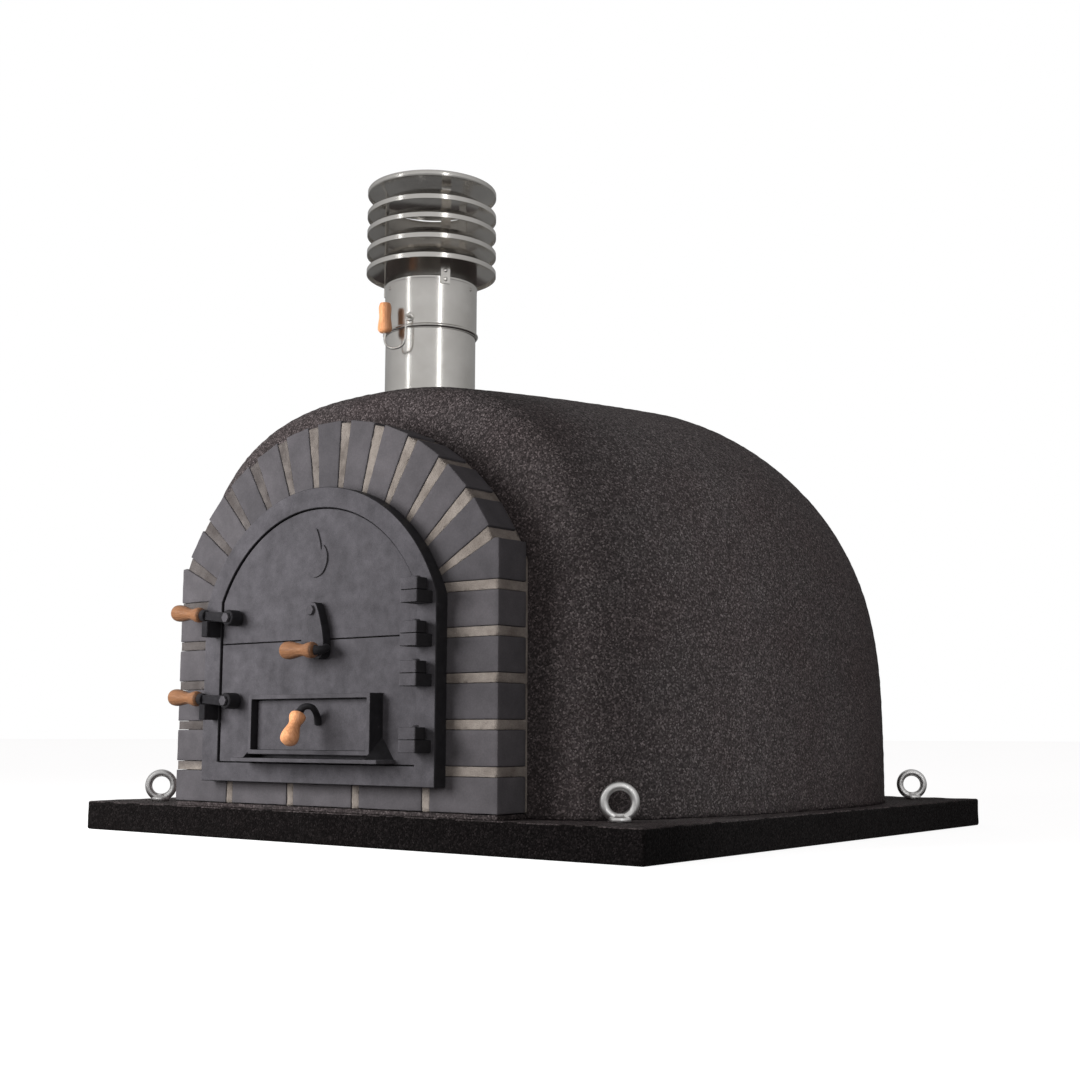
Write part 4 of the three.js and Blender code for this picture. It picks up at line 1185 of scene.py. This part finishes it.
def flue_pipes():
    """The lower pipe, and the upper one that slips over it, with a bead at its foot and a swage."""
    side = [(0, z) for z in PIPE_LEVELS]
    bm = built(add_turned, sheet_tube(PIPE_R, side), 128, FLUE_PLACE)
    piece("pipe_lower", bm, "steel", ["flue_pipe_lower"])
    side = [(0, UPPER_PIPE_BOTTOM)] + ridge(2.6, UPPER_PIPE_BOTTOM + 0.6, 8)
    side += [(0, 860)] + ridge(0.7, SWAGE_BOTTOM, 6) + [(0, UPPER_PIPE_TOP)]
    bm = built(add_turned, sheet_tube(UPPER_PIPE_R, side), 128, FLUE_PLACE)
    piece("pipe_upper", bm, "steel", ["flue_pipe_upper"])
    for i, angle in enumerate(RIVET_ANGLES):
        a = math.radians(angle)
        out = Vector((math.cos(a), math.sin(a), 0))
        pipe_fitting(f"pipe_rivet_{i + 1}", PIPE_RIVET, 20, out, RIVET_Z, 0.5, 40)
    a = math.radians(DAMPER_TURN)
    for side, sign in (("front", 1), ("back", -1)):
        out = Vector((math.sin(a), -math.cos(a), 0)) * sign
        pipe_fitting(f"damper_bush_{side}", DAMPER_BUSH, 28, out, DAMPER_Z, 0.4, 30)


def pipe_fitting(name, profile, sides, out, z, sunk, smooth):
    """A small turned piece that stands out from the upper pipe, sunk a little into its wall."""
    foot = Vector((0, FLUE_Y, z)) + out * (UPPER_PIPE_R - sunk)
    bm = built(add_turned, profile, sides, pointing(foot, out))
    piece(name, bm, "steel", smooth=smooth)


DISC = [(0, -1), (69.4, -1), (70, -0.4), (70, 0.4), (69.4, 1), (0, 1)]
DAMPER_GRIP_FROM = (-38, WIRE_Y, -26)
WIRE_BEND = [(0, -7), (0, -24), (-1, -41), (-7, -51), (-20, -54), (-32, -50), (-37.6, -40)]
WIRE_BEND += [(-38, -26), (-38, 0)]
DAMPER_WIRE = [(0, -84, 0), (0, -89, -1)] + [(x, WIRE_Y, z) for x, z in WIRE_BEND]


def damper():
    """The disc and spindle in the flue, the wire outside it and the grip on the wire."""
    turn = Matrix.Translation((0, FLUE_Y, DAMPER_Z)) @ Matrix.Rotation(math.radians(DAMPER_TURN), 4, "Z")
    bm = built(add_turned, DISC, 72, Matrix.Rotation(math.pi / 2, 4, "Y"))
    add_bar(bm, [(0, 86, 0), (0, 0, 0), (0, -87, 0)], 3, 16, 2)
    piece("damper_disc", bm, "steel", ["flue_damper"], "damper", smooth=40, place=turn)
    bm = built(add_bar, DAMPER_WIRE, 2, 16, 6)
    piece("damper_wire", bm, "steel", body="damper", smooth=50, place=turn)
    profile = turned_wood(DAMPER_GRIP, DAMPER_GRIP_L)
    bm = built(add_turned, profile, 36, Matrix.Translation(DAMPER_GRIP_FROM))
    # The damper's grip takes the paler wood, partly as painted light for its distance from the key lamp.
    piece("damper_grip", bm, "pale_and_lit_wood", ["flue_damper_grip"], "damper", smooth=60, place=turn)


# ---- cowl ----

STRAP_RIVET = [(0, 2.2), (2.2, 1.8), (3.4, 0.6), (3.6, -0.4), (0, -0.4)]


def cap_profile():
    """Half of the cap's section: a shallow cone with its edge turned down."""
    inner = COWL_R - SHEET_T
    lip = CAP_LEVEL - LIP_H
    top = [(0, CAP_LEVEL + CAP_RISE), (60, CAP_LEVEL + 8), (COWL_R - 3, CAP_LEVEL + 1)]
    top += [(COWL_R - 0.8, CAP_LEVEL), (COWL_R, CAP_LEVEL - 1.5), (COWL_R, lip + 1)]
    under = [(COWL_R - 0.7, lip), (inner - 0.6, lip), (inner - 0.8, lip + 1), (inner - 0.8, CAP_LEVEL - 2.4)]
    under += [(COWL_R - 4, CAP_LEVEL - 1), (60, CAP_LEVEL + 8 - SHEET_T), (0, CAP_LEVEL + CAP_RISE - SHEET_T)]
    return top + under


def rim_profile(level):
    """The section of one louvre: a cone that rises inwards, with its edge turned down."""
    inner = COWL_R - SHEET_T
    lip = level - LIP_H
    neck = level + RIM_RISE
    outside = [(inner, lip), (COWL_R, lip), (COWL_R, level - 1.5), (COWL_R - 1, level), (COWL_IN_R, neck)]
    return outside + [(COWL_IN_R, neck - SHEET_T), (inner, level - SHEET_T), (inner, lip)]


def cowl():
    """A stack of louvres under a cap, held by three straps riveted to the pipe."""
    bm = built(add_turned, cap_profile(), 128, FLUE_PLACE)
    piece("cowl_cap", bm, "steel", ["chimney_cowl"], smooth=40)
    for i, level in enumerate(RIM_LEVELS):
        bm = built(add_turned, rim_profile(level), 128, FLUE_PLACE)
        piece(f"cowl_rim_{i + 1}", bm, "steel", smooth=30)
    inside, outside = UPPER_PIPE_R + 0.6, UPPER_PIPE_R + 2.6
    for i, angle in enumerate(STRAP_ANGLES):
        turn = FLUE_PLACE @ Matrix.Rotation(math.radians(angle), 4, "Z")
        across = (-STRAP_HALF_W, STRAP_HALF_W)
        bm = built(add_block, (inside, outside), across, (STRAP_BOTTOM, CAP_LEVEL + 4))
        for z in (STRAP_BOTTOM + 7, STRAP_BOTTOM + 22):
            add_turned(bm, STRAP_RIVET, 20, pointing((outside, 0, z), (1, 0, 0)))
        piece(f"cowl_strap_{i + 1}", bm, "steel", smooth=30, place=turn)


# ---- the CAD nodes that stay ----

def keep_nodes():
    """The inner pieces keep their CAD meshes and get their materials."""
    looks = {
        "hearth_floor": "firebrick",
        "refractory_dome": "firebrick",
        "entrance_throat": "firebrick",
        "insulation_layer": "wool",
    }
    for name, look in looks.items():
        obj = frame["nodes"][name]
        obj.data.materials.clear()
        obj.data.materials.append(MATERIALS[look])


# ---- studio ----

FLOOR_REACH = 34.0
BACKDROP_R = 36
ROOM_R = 38


def stage_object(name, mesh, shader, camera, glossy):
    """A piece of the studio, seen by the camera or by reflections, and never by matt surfaces."""
    mesh.materials.append(shader.material)
    obj = linked(name, mesh)
    obj.visible_camera = camera
    obj.visible_glossy = glossy
    obj.visible_diffuse = False
    obj.visible_transmission = False
    obj.visible_shadow = False
    return obj


def floor():
    """Plain pale paper, just under the slab."""
    mesh = bpy.data.meshes.new("floor")
    r = FLOOR_REACH
    mesh.from_pydata([(-r, -r, 0), (r, -r, 0), (r, r, 0), (-r, r, 0)], [], [(0, 1, 2, 3)])
    s = Shader("floor_paper")
    s.value("Base Color", (0.35, 0.35, 0.35, 1))
    s.value("Roughness", 0.9)
    s.value("Emission Color", (1, 1, 1, 1))
    s.value("Emission Strength", 0.88)
    obj = stage_object("floor", mesh, s, camera=True, glossy=False)
    obj.location.z = -0.0005


def dome(name, radius, camera, glossy):
    """A dome round everything, as a white backdrop or as what the metal reflects."""
    bm = bmesh.new()
    bmesh.ops.create_uvsphere(bm, u_segments=48, v_segments=24, radius=radius)
    mesh = bpy.data.meshes.new(name)
    bm.to_mesh(mesh)
    bm.free()
    s = Shader(name)
    s.value("Base Color", (0, 0, 0, 1))
    s.value("Specular IOR Level", 0)
    s.value("Emission Color", (1, 1, 1, 1))
    s.value("Emission Strength", 1.0)
    if glossy:
        # Brightest in front of the oven, dimmer behind it and at its left, and dark low down.
        along = s.axes(s.coordinates((1 / radius, 1 / radius, 1 / radius)))
        light = s.maths("ADD", s.weighted((along["Y"], -0.17), (along["X"], 0.06)), 0.45)
        height = s.ramp(along["Z"], (0.0, (0.55, 0.51, 0.48)), (0.08, 1))
        s.link(s.maths("MULTIPLY", light, height), s.bsdf.inputs["Emission Strength"])
    stage_object(name, mesh, s, camera, glossy)


def world():
    """A faint warm light from all round."""
    sky = bpy.data.worlds.new("studio")
    sky.use_nodes = True
    background = sky.node_tree.nodes["Background"]
    background.inputs["Color"].default_value = (1.0, 0.86, 0.87, 1)
    background.inputs["Strength"].default_value = 0.17
    bpy.context.scene.world = sky


LIGHT_AIM = (0, -0.2, 0.45)


def area_light(name, azimuth, elevation, distance, size, power, glossy=True):
    """A soft light, seen from the oven at an azimuth from the front towards +X."""
    data = bpy.data.lights.new(name, "AREA")
    data.shape = "RECTANGLE"
    data.size, data.size_y = size
    data.energy = power
    obj = linked(name, data)
    a, e = math.radians(azimuth), math.radians(elevation)
    away = Vector((math.sin(a) * math.cos(e), -math.cos(a) * math.cos(e), math.sin(e)))
    obj.location = Vector(LIGHT_AIM) + away * distance
    obj.rotation_euler = away.to_track_quat("Z", "Y").to_euler()
    obj.visible_glossy = glossy


CAMERA_PLACE = (1.607996, -2.095886, 0.164501)
CAMERA_YAW = 37.803
CAMERA_PITCH = 7.525
CAMERA_ROLL = 0.146
CAMERA_LENS = 48.786


def camera():
    """The photograph's viewpoint: low, in front and to the right."""
    yaw, pitch, roll = (math.radians(angle) for angle in (CAMERA_YAW, CAMERA_PITCH, CAMERA_ROLL))
    ahead = Vector((-math.sin(yaw) * math.cos(pitch), math.cos(yaw) * math.cos(pitch), math.sin(pitch)))
    right = Vector((math.cos(yaw), math.sin(yaw), 0))
    up = right.cross(ahead)
    c, s = math.cos(roll), math.sin(roll)
    right, up = right * c + up * s, up * c - right * s
    data = bpy.data.cameras.new("camera")
    data.sensor_width = 36
    data.lens = CAMERA_LENS
    obj = linked("camera", data)
    turn = Matrix((right, up, -ahead)).transposed().to_4x4()
    obj.matrix_world = Matrix.Translation(CAMERA_PLACE) @ turn
    bpy.context.scene.camera = obj


# ---- assembly ----

camera()
slab()
for place, (x, y, turn) in EYES.items():
    lifting_eye(place, x, y, turn)
shell()
bricks()
mortar()
door_frame()
hinge_pins()
upper_leaf()
lower_leaf()
for name, latch in LATCHES.items():
    side_latch(name, latch["z"], latch["tilt"])
middle_latch()
air_flap()
flue_pipes()
damper()
cowl()
keep_nodes()

floor()
dome("backdrop", BACKDROP_R, camera=True, glossy=False)
dome("reflected_room", ROOM_R, camera=False, glossy=True)
world()
area_light("key", -27, 6, 1.8, (1.0, 1.0), 64, glossy=False)
area_light("fill", 38, 8, 3.0, (1.4, 1.4), 27, glossy=False)
area_light("front_strip", -14, 14, 3.0, (0.1, 2.2), 3.4)
area_light("right_strip", 62, 14, 3.0, (0.2, 2.2), 6)
bpy.context.scene.view_settings.view_transform = "Standard"
